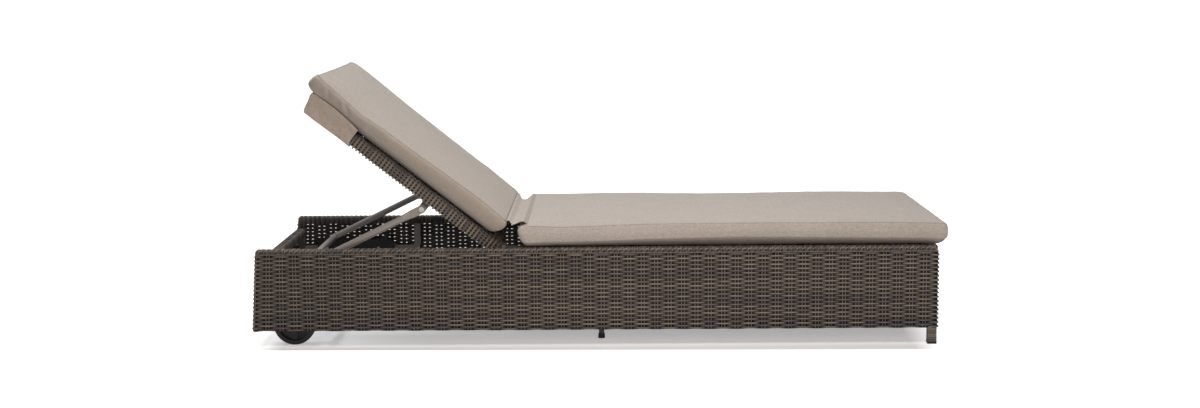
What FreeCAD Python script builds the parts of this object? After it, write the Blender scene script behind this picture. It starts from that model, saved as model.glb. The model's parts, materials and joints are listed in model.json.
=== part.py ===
import FreeCAD, Part
import math
import os

Vector = FreeCAD.Vector

# A woven sun lounger with a wheeled head end, a raising back and a two part cushion.
# Lengths are in millimetres. x runs from the head end to the foot end, z is height above the floor.
# Shapes are drawn with x from the head end and moved to the middle of the object when written.
# The back is drawn lying flat, with s from the hinge towards the head, and then raised.

# Whole base
frame_length = 2000.0
frame_width = 710.0
rim_height = 291.0
skirt_bottom = 53.0
hem = 2.0
tube = 20.0
tube_wall = 1.5
skin = 5.0
wrap = 3.0
rim_lip = 3.0
cushion_overhang = 20.0

# Legs and feet
leg_wrap = 4.0
leg_cap_height = 6.0
cap_inset = 0.5
cap_fillet = 1.5
cap_plug_depth = 14.0
cap_plug_gap = 0.3
centre_foot_x = 1015.0
centre_foot_inset = 90.0
post_diameter = 16.0
foot_cap_diameter = 21.5
foot_cap_top_diameter = 19.0
foot_cap_height = 14.0
foot_cap_floor = 3.0

# Deck under the seat cushion
deck_x = 784.0
seat_rail_pitch = 400.0

# Wheels and their axles
wheel_x = 106.0
wheel_side_room = 28.0
wheel_radius = 62.0
wheel_width = 28.0
wheel_rim = 13.0
tread_round = 4.0
hub_radius = 15.0
hub_width = 30.0
spoke_count = 6
spoke_inner_width = 10.0
spoke_outer_width = 20.0
spoke_thickness = 9.0
wheel_web = 3.0
axle_diameter = 8.0
axle_head_diameter = 14.0
axle_head_height = 6.0
axle_grip = 10.0
bush_wall = 2.0
spacer_wall = 3.0
running_fit = 0.05
side_play = 0.3
inner_spacer_length = 4.0
wheel_end_room = 30.0

# Back frame
hinge_x = 727.0
hinge_z = 283.0
hinge_above_middle = 8.0
rest_angle = 38.0
back_length = 712.0
back_start = 14.0
back_side_room = 9.0
back_tube_height = 32.0
back_tube_width = 20.0
back_skin = 4.0

# Hinge fittings
plate = 4.0
hinge_inset = 32.0
hinge_bolt_diameter = 8.0
hinge_eye_radius = 12.0
hinge_head_diameter = 13.0
hinge_head_height = 5.0
plate_play = 0.1
lug_drop = 1.0

# Prop that holds the back up
prop_s = 260.0
prop_drop = 25.0
prop_length = 402.0
prop_diameter = 20.0
prop_wall = 1.5
prop_side_step = 8.0
prop_flat_width = 24.0
prop_flat_thickness = 6.0
prop_flat_length = 38.0
prop_taper_length = 24.0
prop_taper_ease = 0.4
prop_bolt_diameter = 10.0
prop_bolt_head = 17.0
prop_bolt_head_height = 6.0
ear_half_length = 12.0
ear_radius = 12.0
ear_lap = 26.0
cross_rail_room = 13.0

# Notched plates that catch the prop, and the bent tubes that carry them
notch_floor = 215.0
bar_rest_gap = 1.0
notch_pitch = 48.7
notch_count = 5
first_tip_x = 115.0
tip_height = 18.5
tip_flat = 7.0
tooth_base_head = 32.0
tooth_base_foot = 12.0
ratchet_head_run = 13.0
ratchet_foot_run = 15.0
ratchet_thickness = 12.0
ratchet_floor_depth = 22.0
ratchet_lap = 15.0
bar_side_gap = 2.0
hanger_post_x = 390.0
hanger_bend = 28.0
screw_diameter = 5.0
screw_head_diameter = 9.0
screw_head_height = 1.8
screw_grip = 6.0
screw_margin = 38.0

# Cushions
soft_gap = 0.3
cushion_gap_y = 8.0
seat_cushion_x = 783.0
seat_cushion_height = 72.0
seat_crown = 6.0
back_cushion_s = 39.0
back_cushion_end_s = 738.0
back_cushion_height = 70.0
back_crown = 5.0
hood_cloth = 3.0
hood_length = 170.0
head_wall_play = 0.7
web_cloth = 1.6
web_sag = 15.0
web_reach = 9.0
web_inset = 12.0

# Cushion outline as shares of its length, half width and height
end_place_shares = [0.0, 0.004, 0.012, 0.03, 0.10, 0.30, 0.50, 0.70, 0.90, 0.97, 0.988, 0.996, 1.0]
end_width_shares = [0.96, 0.98, 0.993, 1.0, 0.994, 0.984, 0.981, 0.984, 0.994, 1.0, 0.993, 0.98, 0.96]
end_low_shares = [0.42, 0.25, 0.11, 0.03, 0.0, 0.0, 0.0, 0.0, 0.0, 0.03, 0.11, 0.25, 0.42]
end_top_shares = [0.64, 0.82, 0.94, 0.99, 1.0, 1.0, 1.0, 1.0, 1.0, 0.99, 0.94, 0.82, 0.64]
under_round_share = 0.22
side_swell_share = 0.10

# Places worked out from the sizes above
head_x = -(frame_length + cushion_overhang) / 2
wall_out = frame_width / 2
tube_out = wall_out - skin
tube_in = tube_out - tube
wall_in = tube_in - wrap
rail_top = rim_height - skin
rail_low = rail_top - tube
bottom_low = skirt_bottom + hem
bottom_top = bottom_low + tube
leg_x = frame_length - skin - tube
head_tube_x = skin + tube
back_half = wall_in - back_side_room
back_tube_out = back_half - back_skin
back_tube_in = back_tube_out - back_tube_width
back_tube_end = back_length - back_skin
centre_foot_y = tube_in - centre_foot_inset
wheel_y = tube_in - wheel_side_room
hinge_y = back_tube_in - hinge_inset
prop_y = back_tube_in + prop_side_step
tube_half = back_tube_height / 2
back_half_height = tube_half + back_skin
flat_middle = hinge_z - hinge_above_middle
hood_low = back_half_height + soft_gap + hood_cloth
head_wall_top = flat_middle - hood_low - head_wall_play
head_rail_top = head_wall_top - skin
head_rail_low = head_rail_top - tube
hanger_low = notch_floor - ratchet_floor_depth - tube
hanger_top = hanger_low + tube
ratchet_in = tube_in - ratchet_thickness
bar_z = notch_floor + bar_rest_gap + prop_diameter / 2
hinge = Vector(hinge_x, 0, hinge_z)
across = Vector(0, 1, 0)


def box(x0, x1, y0, y1, z0, z1):
    return Part.makeBox(x1 - x0, y1 - y0, z1 - z0, Vector(x0, y0, z0))


def tube_along(axis, x0, x1, y0, y1, z0, z1, wall=tube_wall):
    """A straight box tube, open at both ends along the named axis."""
    low = [x0 + wall, y0 + wall, z0 + wall]
    high = [x1 - wall, y1 - wall, z1 - wall]
    run = "xyz".index(axis)
    low[run] = (x0, y0, z0)[run]
    high[run] = (x1, y1, z1)[run]
    bore = box(low[0], high[0], low[1], high[1], low[2], high[2])
    return box(x0, x1, y0, y1, z0, z1).cut(bore)


def rod(radius, start, end):
    run = end - start
    return Part.makeCylinder(radius, run.Length, start, run)


def rod_y(radius, x, z, y0, y1):
    return rod(radius, Vector(x, y0, z), Vector(x, y1, z))


def ring_y(outer, inner, x, z, y0, y1):
    return rod_y(outer, x, z, y0, y1).cut(rod_y(inner, x, z, y0, y1))


def hex_y(across_corners, x, z, y0, y1):
    points = []
    for corner in range(7):
        turn = math.radians(60 * corner)
        reach = across_corners / 2
        points.append(Vector(x + reach * math.cos(turn), y0, z + reach * math.sin(turn)))
    face = Part.Face(Part.makePolygon(points))
    return face.extrude(Vector(0, y1 - y0, 0))


def plate_y(points, y0, y1):
    """A flat plate across y, from its outline in x and z."""
    corners = [Vector(x, y0, z) for x, z in points]
    face = Part.Face(Part.makePolygon(corners + corners[:1]))
    return face.extrude(Vector(0, y1 - y0, 0))


def joined(shapes):
    whole = shapes[0]
    for shape in shapes[1:]:
        whole = whole.fuse(shape)
    return whole.removeSplitter()


def mirrored(shape):
    return shape.mirror(Vector(0, 0, 0), across)


def both_sides(shape):
    return Part.makeCompound([shape, mirrored(shape)])


def back_box(s0, s1, y0, y1, n0, n1):
    """A box of the back while it lies flat: s from the hinge, n from the middle of its thickness."""
    return box(hinge_x - s1, hinge_x - s0, y0, y1, flat_middle + n0, flat_middle + n1)


def back_tube(axis, s0, s1, y0, y1, n0, n1):
    return tube_along(axis, hinge_x - s1, hinge_x - s0, y0, y1, flat_middle + n0, flat_middle + n1)


def back_point(s, n, y=0.0):
    """A point of the raised back."""
    turn = math.radians(rest_angle)
    up = n - hinge_above_middle
    x = hinge_x - s * math.cos(turn) + up * math.sin(turn)
    z = hinge_z + s * math.sin(turn) + up * math.cos(turn)
    return Vector(x, y, z)


def raised(shape):
    turned = shape.copy()
    turned.rotate(hinge, across, rest_angle)
    return turned


def export(name, shape):
    placed = shape.copy()
    placed.translate(Vector(head_x, 0, 0))
    for solid in placed.Solids:
        if not solid.isValid() or solid.Volume <= 0:
            raise ValueError(name + " has a faulty solid")
    placed.exportStep("parts/" + name + ".step")


# Base frame: rails, posts and cross rails

def side_rails():
    top = tube_along("x", skin, frame_length - skin, tube_in, tube_out, rail_low, rail_top)
    bottom = tube_along("x", skin, leg_x, tube_in, tube_out, bottom_low, bottom_top)
    hole = rod_y(axle_diameter / 2 + running_fit, wheel_x, wheel_radius, wall_in, tube_in + tube / 2)
    return top, bottom.cut(hole)


def head_rails():
    top = tube_along("y", skin, head_tube_x, -tube_in, tube_in, head_rail_low, head_rail_top)
    bottom = tube_along("y", skin, head_tube_x, -tube_in, tube_in, bottom_low, bottom_top)
    return top, bottom


def foot_rails():
    end = leg_x + tube
    top = tube_along("y", leg_x, end, -tube_in, tube_in, rail_low, rail_top)
    bottom = tube_along("y", leg_x, end, -tube_in, tube_in, bottom_low, bottom_top)
    return top, bottom


def cross_rail(x, low):
    return tube_along("y", x, x + tube, -tube_in, tube_in, low, low + tube)


def head_post():
    return tube_along("z", skin, head_tube_x, tube_in, tube_out, bottom_top, rail_low)


def leg():
    return tube_along("z", leg_x, leg_x + tube, tube_in, tube_out, leg_cap_height, rail_low)


def leg_sleeve():
    low_x = leg_x - leg_wrap
    high_x = leg_x + tube + leg_wrap
    cover = box(low_x, high_x, tube_in - leg_wrap, tube_out + leg_wrap, leg_cap_height, skirt_bottom)
    inside = box(leg_x, leg_x + tube, tube_in, tube_out, leg_cap_height, skirt_bottom)
    return cover.cut(inside)


def leg_cap():
    reach = leg_wrap - cap_inset
    pad = box(leg_x - reach, leg_x + tube + reach, tube_in - reach, tube_out + reach, 0, leg_cap_height)
    pad = pad.makeFillet(cap_fillet, [edge for edge in pad.Edges if abs(edge.BoundBox.ZLength) > cap_fillet])
    room = tube_wall + cap_plug_gap
    plug_top = leg_cap_height + cap_plug_depth
    plug = box(leg_x + room, leg_x + tube - room, tube_in + room, tube_out - room, leg_cap_height, plug_top)
    return joined([pad, plug])


def centre_post():
    foot = Vector(centre_foot_x, centre_foot_y, foot_cap_floor)
    top = Vector(centre_foot_x, centre_foot_y, bottom_low)
    outer = rod(post_diameter / 2, foot, top)
    return outer.cut(rod(post_diameter / 2 - tube_wall, foot, top))


def centre_cap():
    base = Vector(centre_foot_x, centre_foot_y, 0)
    up = Vector(0, 0, 1)
    cap = Part.makeCone(foot_cap_diameter / 2, foot_cap_top_diameter / 2, foot_cap_height, base, up)
    seat = Vector(centre_foot_x, centre_foot_y, foot_cap_floor)
    return cap.cut(Part.makeCylinder(post_diameter / 2, foot_cap_height, seat, up))


# Woven skins of the base

def side_weave():
    return box(0, frame_length, tube_out, wall_out, skirt_bottom, rim_height)


def head_weave():
    return box(0, skin, -tube_out, tube_out, skirt_bottom, head_wall_top)


def foot_weave():
    end = frame_length
    return box(end - skin, end, -tube_out, tube_out, skirt_bottom, rim_height)


def side_rim():
    """Strands wound over the side rail, down its inner face and round its head end."""
    lip_low = rail_low - rim_lip
    over = box(0, frame_length - skin, wall_in, tube_out, rail_top, rim_height)
    inner = box(0, deck_x - wrap, wall_in, tube_in, lip_low, rail_top)
    end = box(0, skin, wall_in, tube_out, head_wall_top, rail_top)
    corner = box(0, head_tube_x + wrap, wall_in, tube_in, head_wall_top, lip_low)
    return joined([over, inner, end, corner])


def head_rim():
    over = box(skin, head_tube_x + wrap, -tube_in, tube_in, head_rail_top, head_wall_top)
    inner = box(head_tube_x, head_tube_x + wrap, -tube_in, tube_in, head_rail_low - rim_lip, head_rail_top)
    return joined([over, inner])


def seat_weave():
    return box(deck_x - wrap, frame_length - skin, -wall_in, wall_in, rail_top, rim_height)


# Bent tube that hangs from the side rail and carries the notched plate

def bent_bar(inset):
    """The hanger's outside when inset is zero, or its bore when inset is the wall."""
    y0 = tube_in + inset
    y1 = tube_out - inset
    z0 = hanger_low + inset
    z1 = hanger_top - inset
    x1 = hanger_post_x + tube - inset
    x0 = hanger_post_x + inset
    centre_x = hanger_post_x + tube - hanger_bend
    centre_z = hanger_low + hanger_bend
    outer_r = hanger_bend - inset
    inner_r = hanger_bend - tube + inset
    run = box(head_tube_x, centre_x, y0, y1, z0, z1)
    post = box(x0, x1, y0, y1, centre_z, rail_low)
    middle = Vector(centre_x, y0, centre_z)
    bend = Part.makeCylinder(outer_r, y1 - y0, middle, across)
    bend = bend.cut(Part.makeCylinder(inner_r, y1 - y0, middle, across))
    quarter = box(centre_x, centre_x + outer_r, y0, y1, centre_z - outer_r, centre_z)
    return joined([run, post, bend.common(quarter)])


def screw_places():
    low = first_tip_x - tooth_base_head
    high = first_tip_x + notch_pitch * (notch_count - 1)
    z = hanger_top - ratchet_lap / 2
    return [(low + screw_margin / 2, z), (high - screw_margin, z)]


def screw_holes():
    radius = screw_diameter / 2
    deep = tube_in + screw_grip
    return [rod_y(radius, x, z, ratchet_in, deep) for x, z in screw_places()]


def hanger():
    body = bent_bar(0).cut(bent_bar(tube_wall))
    for hole in screw_holes():
        body = body.cut(hole)
    return body


def ratchet():
    """A plate with slanted teeth that hook over the bar of the prop."""
    last_tip_x = first_tip_x + notch_pitch * (notch_count - 1)
    tip_z = notch_floor + tip_height
    start_x = first_tip_x - tooth_base_head - ratchet_head_run
    low_z = hanger_top - ratchet_lap
    points = [(start_x, low_z), (start_x, notch_floor)]
    for count in range(notch_count):
        tip_x = first_tip_x + notch_pitch * count
        points.append((tip_x - tooth_base_head, notch_floor))
        points.append((tip_x - tip_flat, tip_z))
        points.append((tip_x, tip_z))
        points.append((tip_x - tooth_base_foot, notch_floor))
    end_x = last_tip_x + ratchet_foot_run
    points.append((end_x - ratchet_floor_depth / 2, notch_floor))
    points.append((end_x, notch_floor - ratchet_floor_depth / 2))
    points.append((end_x, low_z))
    body = plate_y(points, ratchet_in, tube_in)
    for hole in screw_holes():
        body = body.cut(hole)
    return body


def ratchet_screws():
    made = []
    for x, z in screw_places():
        shank = rod_y(screw_diameter / 2, x, z, ratchet_in, tube_in + screw_grip)
        head = rod_y(screw_head_diameter / 2, x, z, ratchet_in - screw_head_height, ratchet_in)
        made.append(joined([shank, head]))
    return made


# Wheels, which run behind the skirt at the head end

wheel_in = wheel_y - wheel_width / 2
wheel_out = wheel_y + wheel_width / 2
hub_in = wheel_y - hub_width / 2
hub_out = wheel_y + hub_width / 2
bore_radius = axle_diameter / 2 + running_fit
carrier_out = hub_in - side_play - inner_spacer_length
axle_rail_x = wheel_x + wheel_radius + wheel_end_room


def wheel():
    rim = ring_y(wheel_radius, wheel_radius - wheel_rim, wheel_x, wheel_radius, wheel_in, wheel_out)
    tread = [edge for edge in rim.Edges if edge.BoundBox.XLength > 2 * wheel_radius - wheel_rim]
    tread = [edge for edge in tread if edge.BoundBox.YLength < side_play]
    rim = rim.makeFillet(tread_round, tread)
    hub = rod_y(hub_radius, wheel_x, wheel_radius, hub_in, hub_out)
    shapes = [rim, hub]
    low = wheel_y - spoke_thickness / 2
    high = wheel_y + spoke_thickness / 2
    inner = spoke_inner_width / 2
    outer = spoke_outer_width / 2
    reach = wheel_radius - wheel_rim / 2
    points = [(wheel_x - inner, wheel_radius), (wheel_x + inner, wheel_radius)]
    points += [(wheel_x + outer, wheel_radius - reach), (wheel_x - outer, wheel_radius - reach)]
    spoke = plate_y(points, low, high)
    for count in range(spoke_count):
        turned = spoke.copy()
        turned.rotate(Vector(wheel_x, 0, wheel_radius), across, 360 / spoke_count * count)
        shapes.append(turned)
    shapes.append(rod_y(reach, wheel_x, wheel_radius, wheel_y - wheel_web / 2, wheel_y + wheel_web / 2))
    body = joined(shapes)
    return body.cut(rod_y(bore_radius + bush_wall, wheel_x, wheel_radius, hub_in, hub_out))


def wheel_bush():
    return ring_y(bore_radius + bush_wall, bore_radius, wheel_x, wheel_radius, hub_in, hub_out)


def axle_spacers():
    radius = bore_radius + spacer_wall
    inner = ring_y(radius, bore_radius, wheel_x, wheel_radius, carrier_out, hub_in - side_play)
    outer = ring_y(radius, bore_radius, wheel_x, wheel_radius, hub_out + side_play, tube_in)
    return [inner, outer]


def axle_carrier():
    carrier_in = carrier_out - tube
    body = tube_along("x", head_tube_x, axle_rail_x, carrier_in, carrier_out, bottom_low, bottom_top)
    return body.cut(rod_y(bore_radius, wheel_x, wheel_radius, carrier_in, carrier_out))


def axle_bolt():
    head_y = carrier_out - tube
    shank = rod_y(axle_diameter / 2, wheel_x, wheel_radius, head_y, tube_in + axle_grip)
    head = hex_y(axle_head_diameter, wheel_x, wheel_radius, head_y - axle_head_height, head_y)
    return joined([shank, head])


# Hinge between the base and the back

tab_low = hinge_y - plate / 2
tab_high = hinge_y + plate / 2
lug_near = tab_high + plate_play
lug_far = tab_low - plate_play
hinge_bore = hinge_bolt_diameter / 2 + running_fit


def hinge_lug(y0, y1):
    eye = rod_y(hinge_eye_radius, hinge_x, hinge_z, y0, y1)
    arm = box(hinge_x, deck_x, y0, y1, rail_low + lug_drop + plate, rail_top - lug_drop)
    return joined([eye, arm]).cut(rod_y(hinge_bore, hinge_x, hinge_z, y0, y1))


def hinge_bolt():
    head_y = lug_near + plate
    nut_y = lug_far - plate
    shank = rod_y(hinge_bolt_diameter / 2, hinge_x, hinge_z, nut_y - hinge_head_height, head_y)
    head = hex_y(hinge_head_diameter, hinge_x, hinge_z, head_y, head_y + hinge_head_height)
    return joined([shank, head])


def hinge_nut():
    nut_y = lug_far - plate
    nut = hex_y(hinge_head_diameter, hinge_x, hinge_z, nut_y - hinge_head_height, nut_y)
    return nut.cut(rod_y(hinge_bolt_diameter / 2, hinge_x, hinge_z, nut_y - hinge_head_height, nut_y))


def hinge_tab():
    eye = rod_y(hinge_eye_radius, hinge_x, hinge_z, tab_low, tab_high)
    arm = back_box(0, back_start, tab_low, tab_high, hinge_above_middle - hinge_eye_radius, tube_half)
    return joined([eye, arm]).cut(rod_y(hinge_bore, hinge_x, hinge_z, tab_low, tab_high))


# Back frame and its woven skins, drawn lying flat

def back_side_rail():
    rail = back_tube("x", back_start, back_tube_end, back_tube_in, back_tube_out, -tube_half, tube_half)
    return rail


def back_cross(s, n0):
    return back_tube("y", s, s + back_tube_width, -back_tube_in, back_tube_in, n0, tube_half)


def back_side_weave():
    high = back_half_height
    outside = back_box(back_start, back_tube_end, back_tube_in, back_half, -high, high)
    inside = back_box(back_start, back_tube_end, back_tube_in, back_tube_out, -tube_half, tube_half)
    return outside.cut(inside)


def back_top_weave():
    return back_box(back_start, back_tube_end, -back_tube_in, back_tube_in, tube_half, back_half_height)


def back_head_weave():
    end = back_box(back_tube_end, back_length, -back_half, back_half, -back_half_height, back_half_height)
    rail_s = back_tube_end - back_tube_width
    under = back_box(rail_s, back_tube_end, -back_tube_in, back_tube_in, -back_half_height, -tube_half)
    return joined([end, under])


# Prop, its ears and its bolts

ear_out = back_tube_in
ear_in = ear_out - plate
flat_low = ear_out + plate_play
flat_high = flat_low + prop_flat_thickness
prop_n = -back_half_height - prop_drop
prop_bore = prop_bolt_diameter / 2 + running_fit
prop_pin = back_point(prop_s, prop_n)
prop_tilt = math.asin((prop_pin.z - bar_z) / prop_length)
bar_x = prop_pin.x - prop_length * math.cos(prop_tilt)
prop_down = Vector(bar_x, 0, bar_z) - prop_pin
prop_down.normalize()


def prop_ear():
    pin_x = hinge_x - prop_s
    pin_z = flat_middle + prop_n
    top_z = flat_middle - tube_half + ear_lap
    eye = rod_y(ear_radius, pin_x, pin_z, ear_in, ear_out)
    points = [(pin_x - ear_half_length, top_z), (pin_x + ear_half_length, top_z)]
    points += [(pin_x + ear_half_length, flat_middle - tube_half), (pin_x + ear_radius, pin_z)]
    points += [(pin_x - ear_radius, pin_z), (pin_x - ear_half_length, flat_middle - tube_half)]
    web = plate_y(points, ear_in, ear_out)
    return joined([eye, web]).cut(rod_y(prop_bore, pin_x, pin_z, ear_in, ear_out))


def prop_bolt():
    pin_x = hinge_x - prop_s
    pin_z = flat_middle + prop_n
    head_y = flat_high + plate_play
    nut_y = ear_in - prop_bolt_head_height
    shank = rod_y(prop_bolt_diameter / 2, pin_x, pin_z, nut_y, head_y)
    head = hex_y(prop_bolt_head, pin_x, pin_z, head_y, head_y + prop_bolt_head_height)
    return joined([shank, head])


def prop_nut():
    pin_x = hinge_x - prop_s
    pin_z = flat_middle + prop_n
    nut_y = ear_in - prop_bolt_head_height
    nut = hex_y(prop_bolt_head, pin_x, pin_z, nut_y, ear_in)
    return nut.cut(rod_y(prop_bolt_diameter / 2, pin_x, pin_z, nut_y, ear_in))


def oval(centre, side_reach, flat_reach):
    """A closed oval across the leg, wide in the leg's plane and thin across y."""
    curve = Part.Ellipse(Vector(0, 0, 0), side_reach, flat_reach).toShape()
    turn = FreeCAD.Rotation(prop_down.cross(across), across, -prop_down)
    curve.Placement = FreeCAD.Placement(centre, turn)
    return Part.Wire([curve])


def prop_leg():
    """A round tube flattened at its upper end, where the bolt goes through."""
    pin = Vector(prop_pin.x, 0, prop_pin.z)
    half = prop_flat_width / 2
    thin = prop_flat_thickness / 2
    radius = prop_diameter / 2
    eye = rod_y(half, pin.x, pin.z, flat_low, flat_high)
    strap = box(pin.x - prop_flat_length, pin.x, flat_low, flat_high, pin.z - half, pin.z + half)
    strap.rotate(pin, across, -math.degrees(prop_tilt))
    start = pin + prop_down * prop_flat_length + across * (flat_low + thin)
    round_start = pin + prop_down * (prop_flat_length + prop_taper_length) + across * prop_y
    end = Vector(bar_x, prop_y, bar_z)
    first = oval(start, half - prop_taper_ease, thin - prop_taper_ease)
    taper = Part.makeLoft([first, oval(round_start, radius, radius)], True, False)
    leg_tube = rod(radius, round_start, end)
    bore = rod(radius - prop_wall, round_start, end)
    leg_tube = leg_tube.cut(bore).cut(rod_y(radius, bar_x, bar_z, 0, wall_out))
    head = eye.fuse(strap).removeSplitter()
    head = head.cut(rod_y(prop_bore, pin.x, pin.z, flat_low, flat_high))
    return head.fuse(taper).fuse(leg_tube)


def prop_bar():
    reach = ratchet_in - bar_side_gap
    outer = rod_y(prop_diameter / 2, bar_x, bar_z, -reach, reach)
    return outer.cut(rod_y(prop_diameter / 2 - prop_wall, bar_x, bar_z, -reach, reach))


# Cushions: lofts along their length through closed sections of lines and arcs

def cushion_section(x, half_width, low, high, crown, round_up):
    """One closed slice across the cushion, flat below, swollen at the sides and crowned on top."""
    height = high - low
    seam_z = low + round_up
    swell = height * side_swell_share
    under = half_width - round_up
    points = [(-under, low), (under, low), (half_width, seam_z), (half_width, high)]
    corner = (under + round_up * math.sin(math.pi / 4), seam_z - round_up * math.cos(math.pi / 4))
    middle_z = (seam_z + high) / 2

    def at(pair):
        return Vector(x, pair[0], pair[1])

    def mirror_pair(pair):
        return (-pair[0], pair[1])

    right_low = Part.Arc(at(points[1]), at(corner), at(points[2]))
    right_side = Part.Arc(at(points[2]), at((half_width + swell, middle_z)), at(points[3]))
    top = Part.Arc(at(points[3]), at((0, high + crown)), at(mirror_pair(points[3])))
    left = mirror_pair((half_width + swell, middle_z))
    left_side = Part.Arc(at(mirror_pair(points[3])), at(left), at(mirror_pair(points[2])))
    left_low = Part.Arc(at(mirror_pair(points[2])), at(mirror_pair(corner)), at(points[0]))
    floor = Part.LineSegment(at(points[0]), at(points[1]))
    curves = [floor, right_low, right_side, top, left_side, left_low]
    return Part.Wire([curve.toShape() for curve in curves])


def cushion(x0, x1, low, height, crown):
    half_width = wall_out - cushion_gap_y - height * side_swell_share
    seam_height = height - crown
    wires = []
    for place, place_share in enumerate(end_place_shares):
        low_share = end_low_shares[place]
        top_share = end_top_shares[place]
        x = x0 + (x1 - x0) * place_share
        z0 = low + seam_height * low_share
        z1 = low + seam_height * top_share
        round_up = (z1 - z0) * under_round_share
        lift = crown * (1.0 - low_share) * top_share
        wires.append(cushion_section(x, half_width * end_width_shares[place], z0, z1, lift, round_up))
    return Part.makeLoft(wires, True, True)


def seat_cushion(room=0.0):
    end = frame_length + cushion_overhang
    low = rim_height + soft_gap
    return cushion(seat_cushion_x - room, end, low, seat_cushion_height + room, seat_crown)


def back_cushion(room=0.0):
    low = flat_middle + hood_low + soft_gap
    x0 = hinge_x - back_cushion_end_s
    x1 = hinge_x - back_cushion_s + room
    return cushion(x0, x1, low, back_cushion_height + room, back_crown)


def cushion_hood():
    """The fabric pocket of the cushion that slips over the head end of the back."""
    side = back_half + soft_gap
    high = back_half_height + soft_gap
    reach = back_length + soft_gap
    start = reach + hood_cloth - hood_length
    outside = back_box(start, reach + hood_cloth, -side - hood_cloth, side + hood_cloth, -hood_low, hood_low)
    inside = back_box(start, reach, -side, side, -high, high)
    return outside.cut(inside)


def cushion_web():
    """The sewn strip that hangs in the gap between the two cushions."""
    half_width = wall_out - cushion_gap_y - web_inset
    seam_n = hood_low + back_cushion_height * end_top_shares[1]
    back_end = back_point(back_cushion_s + web_reach, seam_n)
    seat_seam_z = rim_height + seat_cushion_height * end_top_shares[1]
    seat_end_x = seat_cushion_x + web_reach
    low_x = (back_end.x + seat_end_x) / 2
    low_z = min(back_end.z, seat_seam_z) - web_sag
    points = [(back_end.x, back_end.z), (low_x, low_z), (seat_end_x, seat_seam_z)]
    points += [(seat_end_x, seat_seam_z + web_cloth), (low_x, low_z + web_cloth)]
    points += [(back_end.x, back_end.z + web_cloth)]
    strip = plate_y(points, -half_width, half_width)
    return strip.cut(seat_cushion(soft_gap)).cut(raised(back_cushion(soft_gap)))


# Write every piece

def export_pair(name, left):
    export(name + "_left", left)
    export(name + "_right", mirrored(left))


def export_base():
    side_top, side_bottom = side_rails()
    export_pair("top_rail", side_top)
    export_pair("bottom_rail", side_bottom)
    head_top, head_bottom = head_rails()
    export("head_top_rail", head_top)
    export("head_bottom_rail", head_bottom)
    foot_top, foot_bottom = foot_rails()
    export("foot_top_rail", foot_top)
    export("foot_bottom_rail", foot_bottom)
    export("head_posts", both_sides(head_post()))
    export("legs", both_sides(leg()))
    export("leg_sleeves", both_sides(leg_sleeve()))
    export("leg_caps", both_sides(leg_cap()))
    export("centre_rail", cross_rail(centre_foot_x - tube / 2, bottom_low))
    export("centre_posts", both_sides(centre_post()))
    export("centre_foot_caps", both_sides(centre_cap()))
    export("hinge_rail", cross_rail(deck_x, rail_low))
    seat_rail_count = int((leg_x - deck_x - tube) / seat_rail_pitch)
    places = [deck_x + seat_rail_pitch * (count + 1) for count in range(seat_rail_count)]
    export("seat_rails", Part.makeCompound([cross_rail(x, rail_low) for x in places]))


def export_base_weave():
    export_pair("side_weave", side_weave())
    export("head_weave", head_weave())
    export("foot_weave", foot_weave())
    export_pair("side_rim", side_rim())
    export("head_rim", head_rim())
    export("seat_weave", seat_weave())


def export_ratchets():
    export_pair("ratchet_hanger", hanger())
    export_pair("ratchet", ratchet())
    screws = ratchet_screws()
    export("ratchet_screws", Part.makeCompound(screws + [mirrored(screw) for screw in screws]))


def export_wheels():
    export_pair("wheel", wheel())
    export_pair("wheel_bush", wheel_bush())
    spacers = axle_spacers()
    export("axle_spacers", Part.makeCompound(spacers + [mirrored(spacer) for spacer in spacers]))
    export("axle_carriers", both_sides(axle_carrier()))
    export("axle_rail", cross_rail(axle_rail_x, bottom_low))
    export("axle_bolts", both_sides(axle_bolt()))


def export_hinge():
    lugs = [hinge_lug(lug_near, lug_near + plate), hinge_lug(lug_far - plate, lug_far)]
    export("hinge_lugs", Part.makeCompound(lugs + [mirrored(lug) for lug in lugs]))
    fasteners = [hinge_bolt(), hinge_nut()]
    export("hinge_bolts", Part.makeCompound(fasteners + [mirrored(piece) for piece in fasteners]))
    export("hinge_tabs", raised(both_sides(hinge_tab())))


def export_back():
    export_pair("back_side_rail", raised(back_side_rail()))
    export("back_bottom_rail", raised(back_cross(back_start, -tube_half)))
    export("back_top_rail", raised(back_cross(back_tube_end - back_tube_width, -tube_half)))
    first_s = prop_s + ear_half_length + cross_rail_room
    second_s = (first_s + back_tube_end) / 2
    crosses = [back_cross(first_s, tube_half - tube), back_cross(second_s, tube_half - tube)]
    export("back_cross_rails", raised(Part.makeCompound(crosses)))
    export_pair("back_side_weave", raised(back_side_weave()))
    export("back_top_weave", raised(back_top_weave()))
    export("back_head_weave", raised(back_head_weave()))
    export("prop_ears", raised(both_sides(prop_ear())))
    fasteners = [prop_bolt(), prop_nut()]
    export("prop_bolts", raised(Part.makeCompound(fasteners + [mirrored(piece) for piece in fasteners])))


def export_prop():
    export_pair("prop_leg", prop_leg())
    export("prop_bar", prop_bar())


def export_cushions():
    export("seat_cushion", seat_cushion())
    export("back_cushion", raised(back_cushion()))
    export("cushion_hood", raised(cushion_hood()))
    export("cushion_web", cushion_web())


os.makedirs("parts", exist_ok=True)
export_base()
export_base_weave()
export_ratchets()
export_wheels()
export_hinge()
export_back()
export_prop()
export_cushions()
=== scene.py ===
import json
import math
import bpy
import numpy as np
from mathutils import Matrix, Vector, noise


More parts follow.
